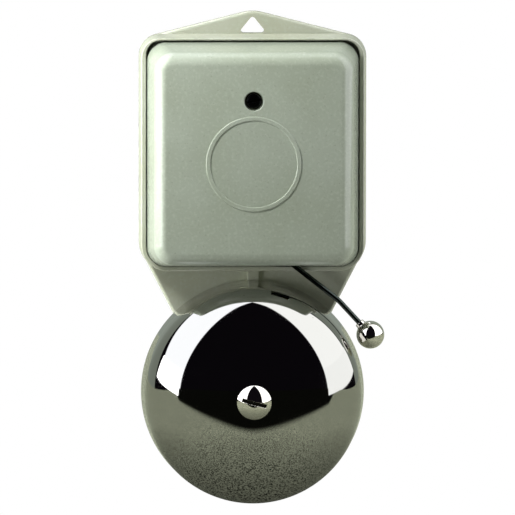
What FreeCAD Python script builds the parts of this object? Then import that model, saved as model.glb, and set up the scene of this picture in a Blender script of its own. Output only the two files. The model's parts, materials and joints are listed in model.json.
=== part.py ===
# Wall-mounted electric bell: a moulded case with a lift-off cover, a trembler
# movement inside it, and one domed gong on the tongue below.
# The origin is the middle of the case's back, on the wall: X to the right,
# Z up, and the object stands out from the wall towards -Y. A depth is a
# distance out from the wall, so depth = -y.

import FreeCAD, Part
import math
import os
import re

import Sketcher

# Sizes in millimetres, and slopes in degrees
sizes = {
    # base plate with its rim, hanger tab and tongue
    "plate_thick": 3.0,
    "plate_edge_round": 1.2,
    "rim_tall": 8.0,
    "rim_side_wall": 1.65,
    "rim_end_wall": 1.1,
    "rim_draft": 0.9,
    "rim_corner": 8.0,
    "rim_low_corner": 11.0,
    "rim_inner_corner": 5.3,
    "rim_edge_round": 0.5,
    "tab_slope": 14.3,
    "tab_bite": 0.05,
    "tab_round": 14.0,
    "eye_wide": 10.2,
    "eye_slope": 39.0,
    "eye_round": 1.0,
    "eye_corner_round": 0.9,
    "eye_gap": 0.3,
    "tongue_wide": 72.4,
    "tongue_slope": 27.0,
    "rib_wide": 3.8,
    "rib_tall": 3.5,
    "rib_offset": 0.26,
    "boss_tall": 3.0,
    "boss_across": 7.0,
    "gong_boss_across": 15.0,
    "wall_hole_across": 4.5,
    "wall_hole_inset": 9.2,
    "entry_across": 9.0,
    "entry_inset": 15.2,
    # room between the movement and the cover's walls
    "room_left": 6.2,
    "room_right": 4.25,
    "room_below": 2.7,
    "room_above": 6.7,
    "room_middle": 19.0,
    # cover
    "cover_rise": 20.0,
    "cover_draft": 7.6,
    "cover_corner": 6.9,
    "cover_edge_round": 4.8,
    "cover_wall": 2.0,
    "cover_gap": 0.5,
    "cover_sag": 0.3,
    "cover_seat": 0.3,
    "ring_across": 34.0,
    "ring_wide": 1.6,
    "ring_tall": 0.45,
    "ring_round": 0.3,
    "ring_z": -1.5,
    "well_across": 6.7,
    "well_deep": 3.0,
    "well_floor": 1.8,
    "well_wall": 1.5,
    "well_lip_round": 0.35,
    "well_z": 20.9,
    "notch_left_room": 7.4,
    "notch_right_room": 2.2,
    "notch_deep": 9.5,
    # cover screw, its washer and its pillar
    "cover_screw_across": 3.0,
    "cover_screw_head": 5.0,
    "cover_screw_head_tall": 1.8,
    "cover_screw_long": 12.0,
    "cover_screw_turn": 12.0,
    "cover_washer_across": 6.1,
    "cover_washer_thick": 0.5,
    "pillar_across": 6.0,
    "pillar_gap": 0.2,
    "rear_screw_across": 3.0,
    "rear_screw_head": 5.4,
    "rear_screw_head_tall": 1.6,
    "rear_screw_grip": 7.0,
    # gong, its post and screw
    "gong_across": 80.0,
    "gong_skirt": 14.7,
    "gong_flare": 4.9,
    "gong_shoulder": 16.0,
    "gong_crown": 4.67,
    "gong_wall": 1.3,
    "gong_lift": 8.0,
    "gong_gap": 2.7,
    "gong_screw_across": 5.0,
    "gong_screw_head": 12.2,
    "gong_screw_head_tall": 3.0,
    "gong_screw_long": 12.0,
    "gong_screw_turn": -15.0,
    "gong_slot_wide": 1.3,
    "gong_slot_deep": 1.4,
    "gong_washer_thick": 0.8,
    "gong_washer_across": 9.0,
    "gong_washer_seat": 0.25,
    "post_across": 9.0,
    # magnet frame, cores, bobbins and windings
    "coil_pitch": 18.0,
    "frame_thick": 2.0,
    "frame_bend": 1.5,
    "frame_screw_inset": 5.5,
    "frame_screw_gap": 26.0,
    "frame_screw_rise": 5.0,
    "coil_clear": 0.5,
    "core_across": 7.0,
    "core_shank": 5.0,
    "core_proud": 0.8,
    "bobbin_across": 17.0,
    "bobbin_long": 33.3,
    "bobbin_wall": 0.8,
    "bobbin_flange": 1.2,
    "winding_across": 15.2,
    # armature, its leaf spring and rivets
    "armature_thick": 3.2,
    "armature_wide": 12.0,
    "armature_long": 29.0,
    "armature_drop": 3.0,
    "armature_round": 1.0,
    "pole_gap": 1.3,
    "leaf_thick": 0.3,
    "leaf_wide": 10.0,
    "leaf_grip": 9.0,
    "leaf_clamped": 7.5,
    "leaf_clear": 0.3,
    "rivet_across": 2.0,
    "rivet_head": 3.6,
    "rivet_head_tall": 0.8,
    "rivet_drop": 2.5,
    "rivet_pitch": 4.5,
    "lug_tall": 10.0,
    "clamp_thick": 1.5,
    "clamp_screw_across": 2.5,
    "clamp_screw_head": 4.4,
    "clamp_screw_head_tall": 1.5,
    "clamp_screw_rise": 4.0,
    "clamp_screw_pitch": 5.0,
    # contact spring, tip, screw and bracket
    "spring_wide": 6.0,
    "spring_step": 1.3,
    "spring_step_run": 2.0,
    "spring_long": 20.5,
    "tip_across": 3.0,
    "tip_tall": 0.8,
    "tip_gap": 0.05,
    "contact_drop": 16.0,
    "contact_screw_across": 3.0,
    "contact_screw_long": 15.0,
    "contact_screw_head": 5.6,
    "contact_screw_head_tall": 2.6,
    "contact_nut_across": 5.5,
    "contact_nut_thick": 2.2,
    "bracket_reach": 5.15,
    "bracket_thick": 1.5,
    "bracket_wide": 12.0,
    "bracket_foot": 12.0,
    "bracket_over": 5.0,
    "insulator_thick": 3.0,
    "insulator_margin": 1.5,
    "bracket_screw_pitch": 6.5,
    "bracket_screw_reach": 7.5,
    "small_screw_across": 2.5,
    "small_screw_head": 4.4,
    "small_screw_head_tall": 1.5,
    "small_screw_bite": 2.2,
    # terminal block
    "block_room": 4.2,
    "block_wide": 22.0,
    "block_tall": 13.0,
    "block_deep": 8.0,
    "block_ridge": 2.0,
    "block_screw_pitch": 8.5,
    "terminal_pitch": 12.0,
    "terminal_wide": 6.6,
    "terminal_tall": 11.0,
    "terminal_thick": 1.0,
    "terminal_screw_across": 3.5,
    "terminal_screw_head": 5.8,
    "terminal_screw_head_tall": 2.0,
    "terminal_screw_long": 8.0,
    "terminal_screw_rise": 1.5,
    "terminal_washer_across": 6.4,
    "terminal_washer_thick": 0.6,
    # hammer rod and ball: how far each stands out from the gong's edge, and how high round it
    "rod_across": 1.9,
    "hammer_depth": 14.5,
    "rod_grip": 6.0,
    "rod_slope": 38.2,
    "rod_root_bend": 3.0,
    "rod_far_bend": 14.0,
    "rod_bend_out": 5.34,
    "rod_bend_turn": 47.38,
    "ball_across": 10.0,
    "ball_gap": 2.0,
    "ball_turn": 26.54,
    "ball_neck_across": 3.4,
    "ball_neck_tall": 1.0,
    "ball_bore_deep": 5.0,
    # leads
    "lead_across": 1.1,
    # how far round each screw was left, its slot, and clearances
    "first_screw_turn": 20.0,
    "next_screw_turn": -35.0,
    "slot_wide_share": 0.2,
    "slot_deep_share": 0.5,
    "running_gap": 0.05,
    "seat_gap": 0.02,
    "hole_clear": 0.3,
    "overrun": 1.0,
}

doc = FreeCAD.newDocument("WallBell")
sheet = doc.addObject("Spreadsheet::Sheet", "Sizes")
for row, (alias, number) in enumerate(sizes.items(), 1):
    sheet.set(f"A{row}", alias)
    sheet.set(f"B{row}", str(number))
    sheet.setAlias(f"B{row}", alias)
doc.recompute()

# The cover is as large as the movement in it and the room round that
derived = {
    "cover_wide": "2 * cover_wall + room_left + frame_thick + bobbin_long + core_proud + pole_gap"
                  " + armature_thick + 2 * leaf_thick + spring_step + tip_tall + tip_gap"
                  " + contact_screw_long + contact_screw_head_tall + room_right",
    "cover_tall": "2 * cover_wall + room_below + bobbin_across + coil_pitch + room_middle"
                  " + block_tall + room_above",
}
for row, (alias, total) in enumerate(derived.items(), len(sizes) + 1):
    sheet.set(f"A{row}", alias)
    sheet.set(f"B{row}", "=" + total)
    sheet.setAlias(f"B{row}", alias)
doc.recompute()

word = re.compile(r"[a-z][a-z0-9_]*")


def formula(text):
    """The same sum with each size's name pointed at its cell."""
    named = sizes.keys() | derived.keys()
    return word.sub(lambda m: "Sizes." + m.group() if m.group() in named else m.group(), str(text))


def value(text):
    """What the sum comes to, in millimetres."""
    return float(sheet.evalExpression(formula(text)))


# Places worked out from the sizes, as sums that the objects are bound to
yoke_left = "(-cover_wide / 2 + cover_wall + room_left)"
armature_x = f"({yoke_left} + frame_thick + bobbin_long + core_proud + pole_gap + armature_thick / 2)"
magnet_z = "(-cover_tall / 2 + cover_wall + room_below + (bobbin_across + coil_pitch) / 2)"
block_x = "(cover_wide / 2 - cover_wall - block_room - block_wide / 2)"
block_z = "(cover_tall / 2 - cover_wall - room_above - block_tall / 2)"
wall_hole = ("(cover_wide / 2 - wall_hole_inset)", "(-cover_tall / 2 + wall_hole_inset)")
entry = ("(-cover_wide / 2 + entry_inset)", "(cover_tall / 2 - entry_inset)")
case_wide = "(cover_wide + 2 * cover_gap + 2 * rim_side_wall + 2 * rim_draft)"
case_tall = "(cover_tall + 2 * cover_gap + 2 * rim_end_wall + 2 * rim_draft)"
gong_drop = f"({case_tall} / 2 + gong_gap + gong_across / 2)"
gong_z = f"(-{gong_drop})"
rim_front = "(plate_thick + rim_tall)"
cover_rear = "(plate_thick + cover_seat)"
cover_face = "(plate_thick + rim_tall + cover_rise)"
well_bottom = f"({cover_face} - well_deep)"
pillar_top = f"({well_bottom} - well_floor - pillar_gap)"
gong_boss_top = "(plate_thick + boss_tall)"
gong_bend_x = "(gong_across / 2 - gong_skirt * tan(gong_flare * 1 deg)" \
              " - gong_shoulder * cos(gong_flare * 1 deg))"
gong_bend_rise = "(gong_skirt - gong_shoulder * sin(gong_flare * 1 deg))"
gong_rise = f"({gong_bend_rise} + gong_shoulder + gong_crown)"
gong_top = f"(gong_lift + {gong_rise})"
post_top = f"({gong_top} - gong_wall - gong_washer_seat - gong_washer_thick)"
tongue_end = "(tongue_wide / 2 * cos(tongue_slope * 1 deg)" \
             f" - ({gong_drop} - {case_tall} / 2) * sin(tongue_slope * 1 deg))"
frame_rear = "(plate_thick + boss_tall)"
frame_front = f"({frame_rear} + frame_thick)"
magnet_depth = f"({frame_front} + coil_clear + bobbin_across / 2)"
pole_x = f"({armature_x} - armature_thick / 2 - pole_gap)"
bobbin_right = f"({pole_x} - core_proud)"
bobbin_left = f"({bobbin_right} - bobbin_long)"
coils_low = f"({magnet_z} - coil_pitch / 2 - bobbin_across / 2)"
coils_high = f"({magnet_z} + coil_pitch / 2 + bobbin_across / 2)"
frame_screws_x = (f"({yoke_left} + frame_screw_inset)", f"({yoke_left} + frame_screw_inset + frame_screw_gap)")
hinge_z = f"({magnet_z} + coil_pitch)"
leaf_left = f"({armature_x} + armature_thick / 2)"
leaf_right = f"({leaf_left} + leaf_thick)"
lug_left = f"({leaf_right} + leaf_clear)"
lug_right = f"({lug_left} + frame_thick)"
armature_top = f"({hinge_z} - armature_drop)"
armature_low = f"({armature_top} - armature_long)"
rivet_z = f"({armature_top} - rivet_drop)"
contact_z = f"({armature_top} - contact_drop)"
spring_face = f"({leaf_right} + spring_step + leaf_thick)"
tip_face = f"({spring_face} + tip_tall)"
screw_tip = f"({tip_face} + tip_gap)"
bracket_foot_depth = "(plate_thick + insulator_thick)"
bracket_top = f"({bracket_foot_depth} + bracket_thick)"
bracket_x = f"({screw_tip} + bracket_reach)"
bracket_right = f"({bracket_x} + bracket_thick)"
ball_x = "((gong_across / 2 + ball_across / 2 + ball_gap) * cos(ball_turn * 1 deg))"
ball_z = f"({gong_z} + (gong_across / 2 + ball_across / 2 + ball_gap) * sin(ball_turn * 1 deg))"
rod_bend_x = "((gong_across / 2 + rod_bend_out) * cos(rod_bend_turn * 1 deg))"
rod_bend_z = f"({gong_z} + (gong_across / 2 + rod_bend_out) * sin(rod_bend_turn * 1 deg))"
rod_exit_x = f"({rod_bend_x} - (-cover_tall / 2 - {rod_bend_z}) / tan(rod_slope * 1 deg))"
block_front = "(plate_thick + block_deep)"
plate_front = f"({block_front} + terminal_thick)"

planes = {"front": "XZ_Plane", "side": "YZ_Plane", "top": "XY_Plane"}


def body(name, x="0", depth="0", z="0"):
    """A piece that is built up from sketches, at its place."""
    piece = doc.addObject("PartDesign::Body", name)
    piece.Label = name
    piece.setExpression("Placement.Base.x", formula(x))
    piece.setExpression("Placement.Base.y", formula(f"-({depth})"))
    piece.setExpression("Placement.Base.z", formula(z))
    return piece


def sketch(piece, facing, near):
    """An empty sketch square to X, to the depth or to Z, at a distance along it."""
    drawn = piece.newObject("Sketcher::SketchObject", piece.Name + "_sketch")
    support = [plane for plane in piece.Origin.OriginFeatures if plane.Role == planes[facing]]
    drawn.AttachmentSupport = [(support[0], "")]
    drawn.MapMode = "FlatFace"
    drawn.setExpression(".AttachmentOffset.Base.z", formula(near))
    drawn.addProperty("App::PropertyString", "Facing")
    drawn.Facing = facing
    return drawn


def pin(drawn, kind, elements, text):
    """A dimension that follows the sizes."""
    index = drawn.addConstraint(Sketcher.Constraint(kind, *elements, value(text)))
    drawn.setExpression(f"Constraints[{index}]", formula(text))


def across_down(drawn, point):
    """A point's two sums in the sketch's own directions."""
    first, second = point
    if drawn.Facing == "side":
        return f"-({first})", second
    if drawn.Facing == "top":
        return first, f"-({second})"
    return first, second


def polygon(drawn, points):
    """A closed outline through the points."""
    sums = [across_down(drawn, point) for point in points]
    corners = [FreeCAD.Vector(value(a), value(b), 0) for a, b in sums]
    for here, start in enumerate(corners):
        following = corners[(here + 1) % len(corners)]
        drawn.addGeometry(Part.LineSegment(start, following), False)
    for here in range(len(corners)):
        following = (here + 1) % len(corners)
        drawn.addConstraint(Sketcher.Constraint("Coincident", here, 2, following, 1))
    for here, (a, b) in enumerate(sums):
        pin(drawn, "DistanceX", (-1, 1, here, 1), a)
        pin(drawn, "DistanceY", (-1, 1, here, 1), b)


def circle(drawn, centre, radius):
    """A full circle."""
    a, b = across_down(drawn, centre)
    middle = FreeCAD.Vector(value(a), value(b), 0)
    ring = Part.Circle(middle, FreeCAD.Vector(0, 0, 1), value(radius))
    index = drawn.addGeometry(ring, False)
    pin(drawn, "DistanceX", (-1, 1, index, 3), a)
    pin(drawn, "DistanceY", (-1, 1, index, 3), b)
    pin(drawn, "Radius", (index,), radius)


def rounded_rectangle(drawn, wide, tall, corner, low_corner=None):
    """A rectangle about the origin with four rounded corners, the two low ones rounder where that is given."""
    half_wide, half_tall = value(wide) / 2, value(tall) / 2
    corners = [low_corner or corner, corner, corner, low_corner or corner]
    radii = [value(each) for each in corners]
    turns = [(1, -1), (1, 1), (-1, 1), (-1, -1)]
    centres = [FreeCAD.Vector(a * (half_wide - radius), b * (half_tall - radius), 0)
               for (a, b), radius in zip(turns, radii)]
    for quarter, centre in enumerate(centres):
        low = math.radians(90 * (quarter - 1))
        outward = FreeCAD.Vector(math.cos(low), math.sin(low), 0)
        before = centres[quarter - 1] + outward * radii[quarter - 1]
        drawn.addGeometry(Part.LineSegment(before, centre + outward * radii[quarter]), False)
    for quarter, centre in enumerate(centres):
        low = math.radians(90 * (quarter - 1))
        round_corner = Part.Circle(centre, FreeCAD.Vector(0, 0, 1), radii[quarter])
        drawn.addGeometry(Part.ArcOfCircle(round_corner, low, low + math.pi / 2), False)
    for quarter in range(4):
        arc = 4 + quarter
        drawn.addConstraint(Sketcher.Constraint("Tangent", quarter, 2, arc, 1))
        drawn.addConstraint(Sketcher.Constraint("Tangent", arc, 2, (quarter + 1) % 4, 1))
        straight = "Vertical" if quarter % 2 else "Horizontal"
        drawn.addConstraint(Sketcher.Constraint(straight, quarter))
        pin(drawn, "Radius", (arc,), corners[quarter])
    pin(drawn, "DistanceX", (-1, 1, 1, 1), f"({wide}) / 2")
    pin(drawn, "DistanceX", (3, 1, -1, 1), f"({wide}) / 2")
    pin(drawn, "DistanceY", (-1, 1, 2, 1), f"({tall}) / 2")
    pin(drawn, "DistanceY", (0, 1, -1, 1), f"({tall}) / 2")


def add(piece, drawn, length):
    """Grows the sketch outwards by a length."""
    pad = piece.newObject("PartDesign::Pad", piece.Name + "_pad")
    pad.Profile = drawn
    pad.setExpression("Length", formula(length))
    return pad


def cut(piece, drawn, length):
    """Cuts the sketch away over a length, the same way that add grows it."""
    doc.recompute()
    pocket = piece.newObject("PartDesign::Pocket", piece.Name + "_pocket")
    pocket.Profile = drawn
    pocket.Reversed = True
    pocket.setExpression("Length", formula(length))
    return pocket


def slab(piece, facing, points, near, far, shape=add):
    """A flat piece, or a cut, with a straight-sided outline."""
    drawn = sketch(piece, facing, near)
    polygon(drawn, points)
    return shape(piece, drawn, f"({far}) - ({near})")


def box(piece, facing, low, high, near, far, shape=add):
    """A rectangular piece or cut between two corners."""
    points = [low, (high[0], low[1]), high, (low[0], high[1])]
    return slab(piece, facing, points, near, far, shape)


def disc(piece, facing, centre, across, near, far, shape=add):
    """A round piece or hole."""
    drawn = sketch(piece, facing, near)
    circle(drawn, centre, f"({across}) / 2")
    return shape(piece, drawn, f"({far}) - ({near})")


def drafted(piece, near, far, near_size, far_size, kind="PartDesign::AdditiveLoft"):
    """A rounded rectangle that narrows from one depth to another."""
    ends = []
    for depth, size in ((near, near_size), (far, far_size)):
        drawn = sketch(piece, "front", depth)
        rounded_rectangle(drawn, *size)
        ends.append(drawn)
    loft = piece.newObject(kind, piece.Name + "_draft")
    loft.Profile = ends[0]
    loft.Sections = [ends[1]]
    loft.Ruled = True
    return loft


def soften(piece, radius, wanted):
    """Rounds the edges that the test picks out."""
    doc.recompute()
    base = piece.Tip
    names = [f"Edge{n}" for n, edge in enumerate(base.Shape.Edges, 1) if wanted(edge)]
    if not names:
        raise RuntimeError("no edge to round on " + piece.Name)
    fillet = piece.newObject("PartDesign::Fillet", piece.Name + "_round")
    fillet.Base = (base, names)
    fillet.setExpression("Radius", formula(radius))
    return fillet


close = 1e-4


def at_depth(edge, depth):
    """True for an edge that lies flat at one depth."""
    bounds = edge.BoundBox
    return abs(bounds.YMin + depth) < close and abs(bounds.YMax + depth) < close


def along_depth(edge, x, z):
    """True for a straight edge that runs out from the wall at one place."""
    bounds = edge.BoundBox
    square = bounds.XLength < close and bounds.ZLength < close
    return square and abs(bounds.XMin - x) < close and abs(bounds.ZMin - z) < close


# Base plate: hanger tab and tongue in one outline, with the floor and the drafted rim over it
def make_base_plate():
    piece = body("base_plate")
    tab_x = f"({case_wide} / 2 - rim_corner + (rim_corner - tab_bite) * sin(tab_slope * 1 deg))"
    tab_z = f"({case_tall} / 2 - rim_corner + (rim_corner - tab_bite) * cos(tab_slope * 1 deg))"
    apex = f"({tab_z} + {tab_x} * tan(tab_slope * 1 deg))"
    side_rise = "rim_low_corner * (1 - sin(tongue_slope * 1 deg))"
    side_x = f"(tongue_wide / 2 + {side_rise} * tan(tongue_slope * 1 deg))"
    side_z = f"(-{case_tall} / 2 + {side_rise})"
    tip = f"({gong_z} - {tongue_end} / sin(tongue_slope * 1 deg))"
    outline = [("0", apex), (f"-{tab_x}", tab_z), (f"-{side_x}", side_z), ("0", tip), (side_x, side_z),
               (tab_x, tab_z)]
    slab(piece, "front", outline, "0", "plate_thick")
    soften(piece, "tab_round", lambda edge: along_depth(edge, 0, value(apex)))
    soften(piece, tongue_end, lambda edge: along_depth(edge, 0, value(tip)))
    soften(piece, "plate_edge_round", lambda edge: at_depth(edge, value("plate_thick")))
    floor = sketch(piece, "front", "0")
    rounded_rectangle(floor, case_wide, case_tall, "rim_corner", "rim_low_corner")
    add(piece, floor, "plate_thick")
    drafted(piece, "plate_thick", rim_front, (case_wide, case_tall, "rim_corner", "rim_low_corner"),
            (f"{case_wide} - 2 * rim_draft", f"{case_tall} - 2 * rim_draft", "rim_corner - rim_draft",
             "rim_low_corner - 2 * rim_draft"))
    soften(piece, "rim_edge_round", lambda edge: at_depth(edge, value(rim_front)))
    inside = sketch(piece, "front", "plate_thick")
    inside.setExpression(".AttachmentOffset.Base.y", formula("cover_sag"))
    rounded_rectangle(inside, "cover_wide + 2 * cover_gap", "cover_tall + 2 * cover_gap", "rim_inner_corner",
                      "cover_corner + cover_gap")
    cut(piece, inside, "rim_tall + overrun")
    cut_eye(piece)
    rib_left = "(rib_offset - rib_wide / 2)"
    rib_low = f"({gong_z} + gong_boss_across / 2 - overrun / 2)"
    rib_top = "(-cover_tall / 2 - cover_gap - rim_end_wall / 2)"
    box(piece, "front", (rib_left, rib_low), (f"{rib_left} + rib_wide", rib_top),
        "plate_thick", "plate_thick + rib_tall")
    disc(piece, "front", ("0", gong_z), "gong_boss_across", "plate_thick", gong_boss_top)
    for x in frame_screws_x:
        for z in (f"{hinge_z} + frame_screw_rise", f"{coils_low} + frame_screw_rise"):
            disc(piece, "front", (x, z), "boss_across", "plate_thick", frame_rear)
    cut_holes(piece)
    return piece


def cut_eye(piece):
    """The rounded triangle that the bell hangs by."""
    low = f"({case_tall} / 2 + eye_gap)"
    high = f"({low} + eye_wide / 2 / tan(eye_slope * 1 deg))"
    outline = [("-eye_wide / 2", low), ("eye_wide / 2", low), ("0", high)]
    slab(piece, "front", outline, "-overrun", "plate_thick + overrun", cut)
    soften(piece, "eye_round", lambda edge: along_depth(edge, 0, value(high)))
    half = value("eye_wide / 2")
    soften(piece, "eye_corner_round",
           lambda edge: along_depth(edge, half, value(low)) or along_depth(edge, -half, value(low)))


def cut_holes(piece):
    """Screw, pilot, cable and wall holes."""
    through = ("-overrun", f"{gong_boss_top} + overrun")
    for z in (gong_z, "well_z"):
        disc(piece, "front", ("0", z), "rear_screw_across + 2 * hole_clear", *through, cut)
        disc(piece, "front", ("0", z), "rear_screw_head + 2 * hole_clear", "-overrun",
             "rear_screw_head_tall + hole_clear", cut)
    disc(piece, "front", wall_hole, "wall_hole_across", *through, cut)
    disc(piece, "front", entry, "entry_across", *through, cut)
    for x in frame_screws_x:
        disc(piece, "front", (x, f"{hinge_z} + frame_screw_rise"), "small_screw_across + 2 * seat_gap",
             "plate_thick - small_screw_bite", f"{frame_rear} + overrun", cut)
    for x, z in bracket_screw_places() + block_screw_places():
        disc(piece, "front", (x, z), "small_screw_across + 2 * seat_gap", "plate_thick - small_screw_bite",
             "plate_thick + overrun", cut)


def bracket_screw_places():
    """Where the contact bracket is screwed down."""
    x = f"({bracket_x} + bracket_screw_reach)"
    return [(x, f"({contact_z} + bracket_screw_pitch / 2)"), (x, f"({contact_z} - bracket_screw_pitch / 2)")]


def block_screw_places():
    """Where the terminal block is screwed down."""
    return [(block_x, f"({block_z} + block_screw_pitch / 2)"),
            (block_x, f"({block_z} - block_screw_pitch / 2)")]


# Cover: a drafted shell with a soft front edge, an embossed ring, a screw well and a notch for the rod
def make_cover():
    piece = body("cover")
    slope = "tan(cover_draft * 1 deg)"
    narrowed = f"2 * cover_rise * {slope}"
    skirt = sketch(piece, "front", cover_rear)
    rounded_rectangle(skirt, "cover_wide", "cover_tall", "cover_corner")
    add(piece, skirt, f"{rim_front} - {cover_rear}")
    drafted(piece, rim_front, cover_face, ("cover_wide", "cover_tall", "cover_corner"),
            (f"cover_wide - {narrowed}", f"cover_tall - {narrowed}", "cover_corner"))
    soften(piece, "cover_edge_round", lambda edge: at_depth(edge, value(cover_face)))
    inner = ("cover_wide - 2 * cover_wall", "cover_tall - 2 * cover_wall", "cover_corner - cover_wall")
    depth = "(cover_rise - cover_wall)"
    inner_far = [f"{size} - 2 * {depth} * {slope}" for size in inner[:2]]
    hollow = sketch(piece, "front", f"{cover_rear} - overrun")
    rounded_rectangle(hollow, *inner)
    cut(piece, hollow, f"{rim_front} - {cover_rear} + overrun")
    doc.recompute()
    drafted(piece, rim_front, f"{cover_face} - cover_wall", inner, (*inner_far, inner[2]),
            "PartDesign::SubtractiveLoft")
    inner_face = value(f"{cover_face} - cover_wall")
    soften(piece, "cover_edge_round - cover_wall", lambda edge: at_depth(edge, inner_face))
    ring_back = f"({cover_face} - cover_wall / 2)"
    disc(piece, "front", ("0", "ring_z"), "ring_across", ring_back, f"{cover_face} + ring_tall")
    disc(piece, "front", ("0", "ring_z"), "ring_across - 2 * ring_wide", cover_face,
         f"{cover_face} + ring_tall + overrun", cut)
    soften(piece, "ring_round", lambda edge: at_depth(edge, value(f"{cover_face} + ring_tall")))
    disc(piece, "front", ("0", "well_z"), "well_across + 2 * well_wall", f"{well_bottom} - well_floor",
         f"{cover_face} - cover_wall / 2")
    disc(piece, "front", ("0", "well_z"), "well_across", well_bottom, f"{cover_face} + overrun", cut)
    disc(piece, "front", ("0", "well_z"), "cover_screw_across + 2 * hole_clear",
         f"{well_bottom} - well_floor - overrun", f"{well_bottom} + overrun", cut)
    well_radius = value("well_across / 2")
    soften(piece, "well_lip_round",
           lambda edge: at_depth(edge, value(cover_face)) and edge.BoundBox.XLength < 2 * well_radius + close
           and abs(edge.BoundBox.Center.z - value("well_z")) < close)
    box(piece, "top", (f"{rod_exit_x} - notch_left_room", f"{cover_rear} - overrun"),
        (f"{rod_exit_x} + notch_right_room", f"{rim_front} + notch_deep"),
        "-cover_tall / 2 - overrun", "-cover_tall / 2 + 3 * cover_wall", cut)
    return piece


# Gong: a pressed dome with a shallow crown, a round shoulder and a skirt that flares a little
def dome(drawn, wall):
    """Half of the outline, to be turned about the depth axis, drawn in from the outside by a wall."""
    lift, rise, flare = value("gong_lift"), value(gong_rise), math.radians(value("gong_flare"))
    reach = f"gong_across / 2 - ({wall}) / cos(gong_flare * 1 deg)"
    small = value("gong_shoulder")
    bend = FreeCAD.Vector(value(gong_bend_x), -lift - value(gong_bend_rise), 0)
    high = lift + rise + bend.y
    big = (bend.x ** 2 + high ** 2 - small ** 2) / (2 * (high - small))
    crown = FreeCAD.Vector(0, big - lift - rise, 0)
    lean = math.atan2(bend.y - crown.y, bend.x - crown.x)
    inward = value(wall)
    apex = FreeCAD.Vector(0, inward - lift - rise, 0)
    middle = FreeCAD.Vector(0, -lift, 0)
    edge = FreeCAD.Vector(value(reach), -lift, 0)
    skirt = bend + FreeCAD.Vector(math.cos(flare), -math.sin(flare), 0) * (small - inward)
    normal = FreeCAD.Vector(0, 0, 1)
    drawn.addGeometry(Part.LineSegment(middle, apex), False)
    drawn.addGeometry(Part.ArcOfCircle(Part.Circle(crown, normal, big - inward), -math.pi / 2, lean), False)
    drawn.addGeometry(Part.ArcOfCircle(Part.Circle(bend, normal, small - inward), lean, -flare), False)
    drawn.addGeometry(Part.LineSegment(skirt, edge), False)
    drawn.addGeometry(Part.LineSegment(edge, middle), False)
    drawn.addConstraint(Sketcher.Constraint("Coincident", 0, 2, 1, 1))
    drawn.addConstraint(Sketcher.Constraint("Tangent", 1, 2, 2, 1))
    drawn.addConstraint(Sketcher.Constraint("Tangent", 2, 2, 3, 1))
    drawn.addConstraint(Sketcher.Constraint("Coincident", 3, 2, 4, 1))
    drawn.addConstraint(Sketcher.Constraint("Coincident", 4, 2, 0, 1))
    drawn.addConstraint(Sketcher.Constraint("PointOnObject", 1, 3, -2))
    drawn.addConstraint(Sketcher.Constraint("PointOnObject", 0, 1, -2))
    drawn.addConstraint(Sketcher.Constraint("PointOnObject", 0, 2, -2))
    pin(drawn, "DistanceY", (-1, 1, 0, 1), "-gong_lift")
    pin(drawn, "DistanceY", (-1, 1, 0, 2), f"-gong_lift - {gong_rise} + {wall}")
    pin(drawn, "DistanceX", (-1, 1, 2, 3), gong_bend_x)
    pin(drawn, "DistanceY", (-1, 1, 2, 3), f"-gong_lift - {gong_bend_rise}")
    pin(drawn, "Radius", (2,), f"gong_shoulder - ({wall})")
    pin(drawn, "DistanceX", (-1, 1, 4, 1), reach)
    pin(drawn, "DistanceY", (-1, 1, 4, 1), "-gong_lift")


def turned(piece, kind, drawn):
    """Turns a half outline about the depth axis, to add it or to cut it."""
    feature = piece.newObject(kind, piece.Name + "_turned")
    feature.Profile = drawn
    feature.ReferenceAxis = (drawn, ["V_Axis"])
    feature.Angle = 360
    return feature


def make_gong():
    piece = body("gong", z=gong_z)
    outer = sketch(piece, "top", "0")
    dome(outer, "0")
    turned(piece, "PartDesign::Revolution", outer)
    doc.recompute()
    inner = sketch(piece, "top", "0")
    dome(inner, "gong_wall")
    turned(piece, "PartDesign::Groove", inner)
    disc(piece, "front", ("0", "0"), "gong_screw_across + 2 * running_gap", "gong_lift",
         f"{gong_top} + overrun", cut)
    return piece


def make_gong_post():
    piece = body("gong_post", z=gong_z)
    disc(piece, "front", ("0", "0"), "post_across", gong_boss_top, post_top)
    disc(piece, "front", ("0", "0"), "gong_screw_across + 2 * seat_gap",
         f"{post_top} - gong_screw_long", f"{post_top} + overrun", cut)
    disc(piece, "front", ("0", "0"), "rear_screw_across + 2 * seat_gap",
         f"{gong_boss_top} - overrun", f"{gong_boss_top} + rear_screw_grip", cut)
    return piece


def make_gong_washer():
    piece = body("gong_washer", z=gong_z)
    disc(piece, "front", ("0", "0"), "gong_washer_across", post_top, f"{post_top} + gong_washer_thick")
    disc(piece, "front", ("0", "0"), "gong_screw_across + 2 * running_gap",
         f"{post_top} - overrun", f"{post_top} + gong_washer_thick + overrun", cut)
    return piece


# Screws, pins and nuts: built along their own axis, then turned to face where they point
turns = {
    "front": FreeCAD.Rotation(FreeCAD.Vector(1, 0, 0), 90),
    "back": FreeCAD.Rotation(FreeCAD.Vector(1, 0, 0), -90),
    "right": FreeCAD.Rotation(FreeCAD.Vector(0, 1, 0), 90),
    "left": FreeCAD.Rotation(FreeCAD.Vector(0, 1, 0), -90),
}


def cylinder(name, across, low, high):
    """A plain round length on the local axis."""
    rod = doc.addObject("Part::Cylinder", name)
    rod.setExpression("Radius", formula(f"({across}) / 2"))
    rod.setExpression("Height", formula(f"({high}) - ({low})"))
    rod.setExpression("Placement.Base.z", formula(low))
    return rod


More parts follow.
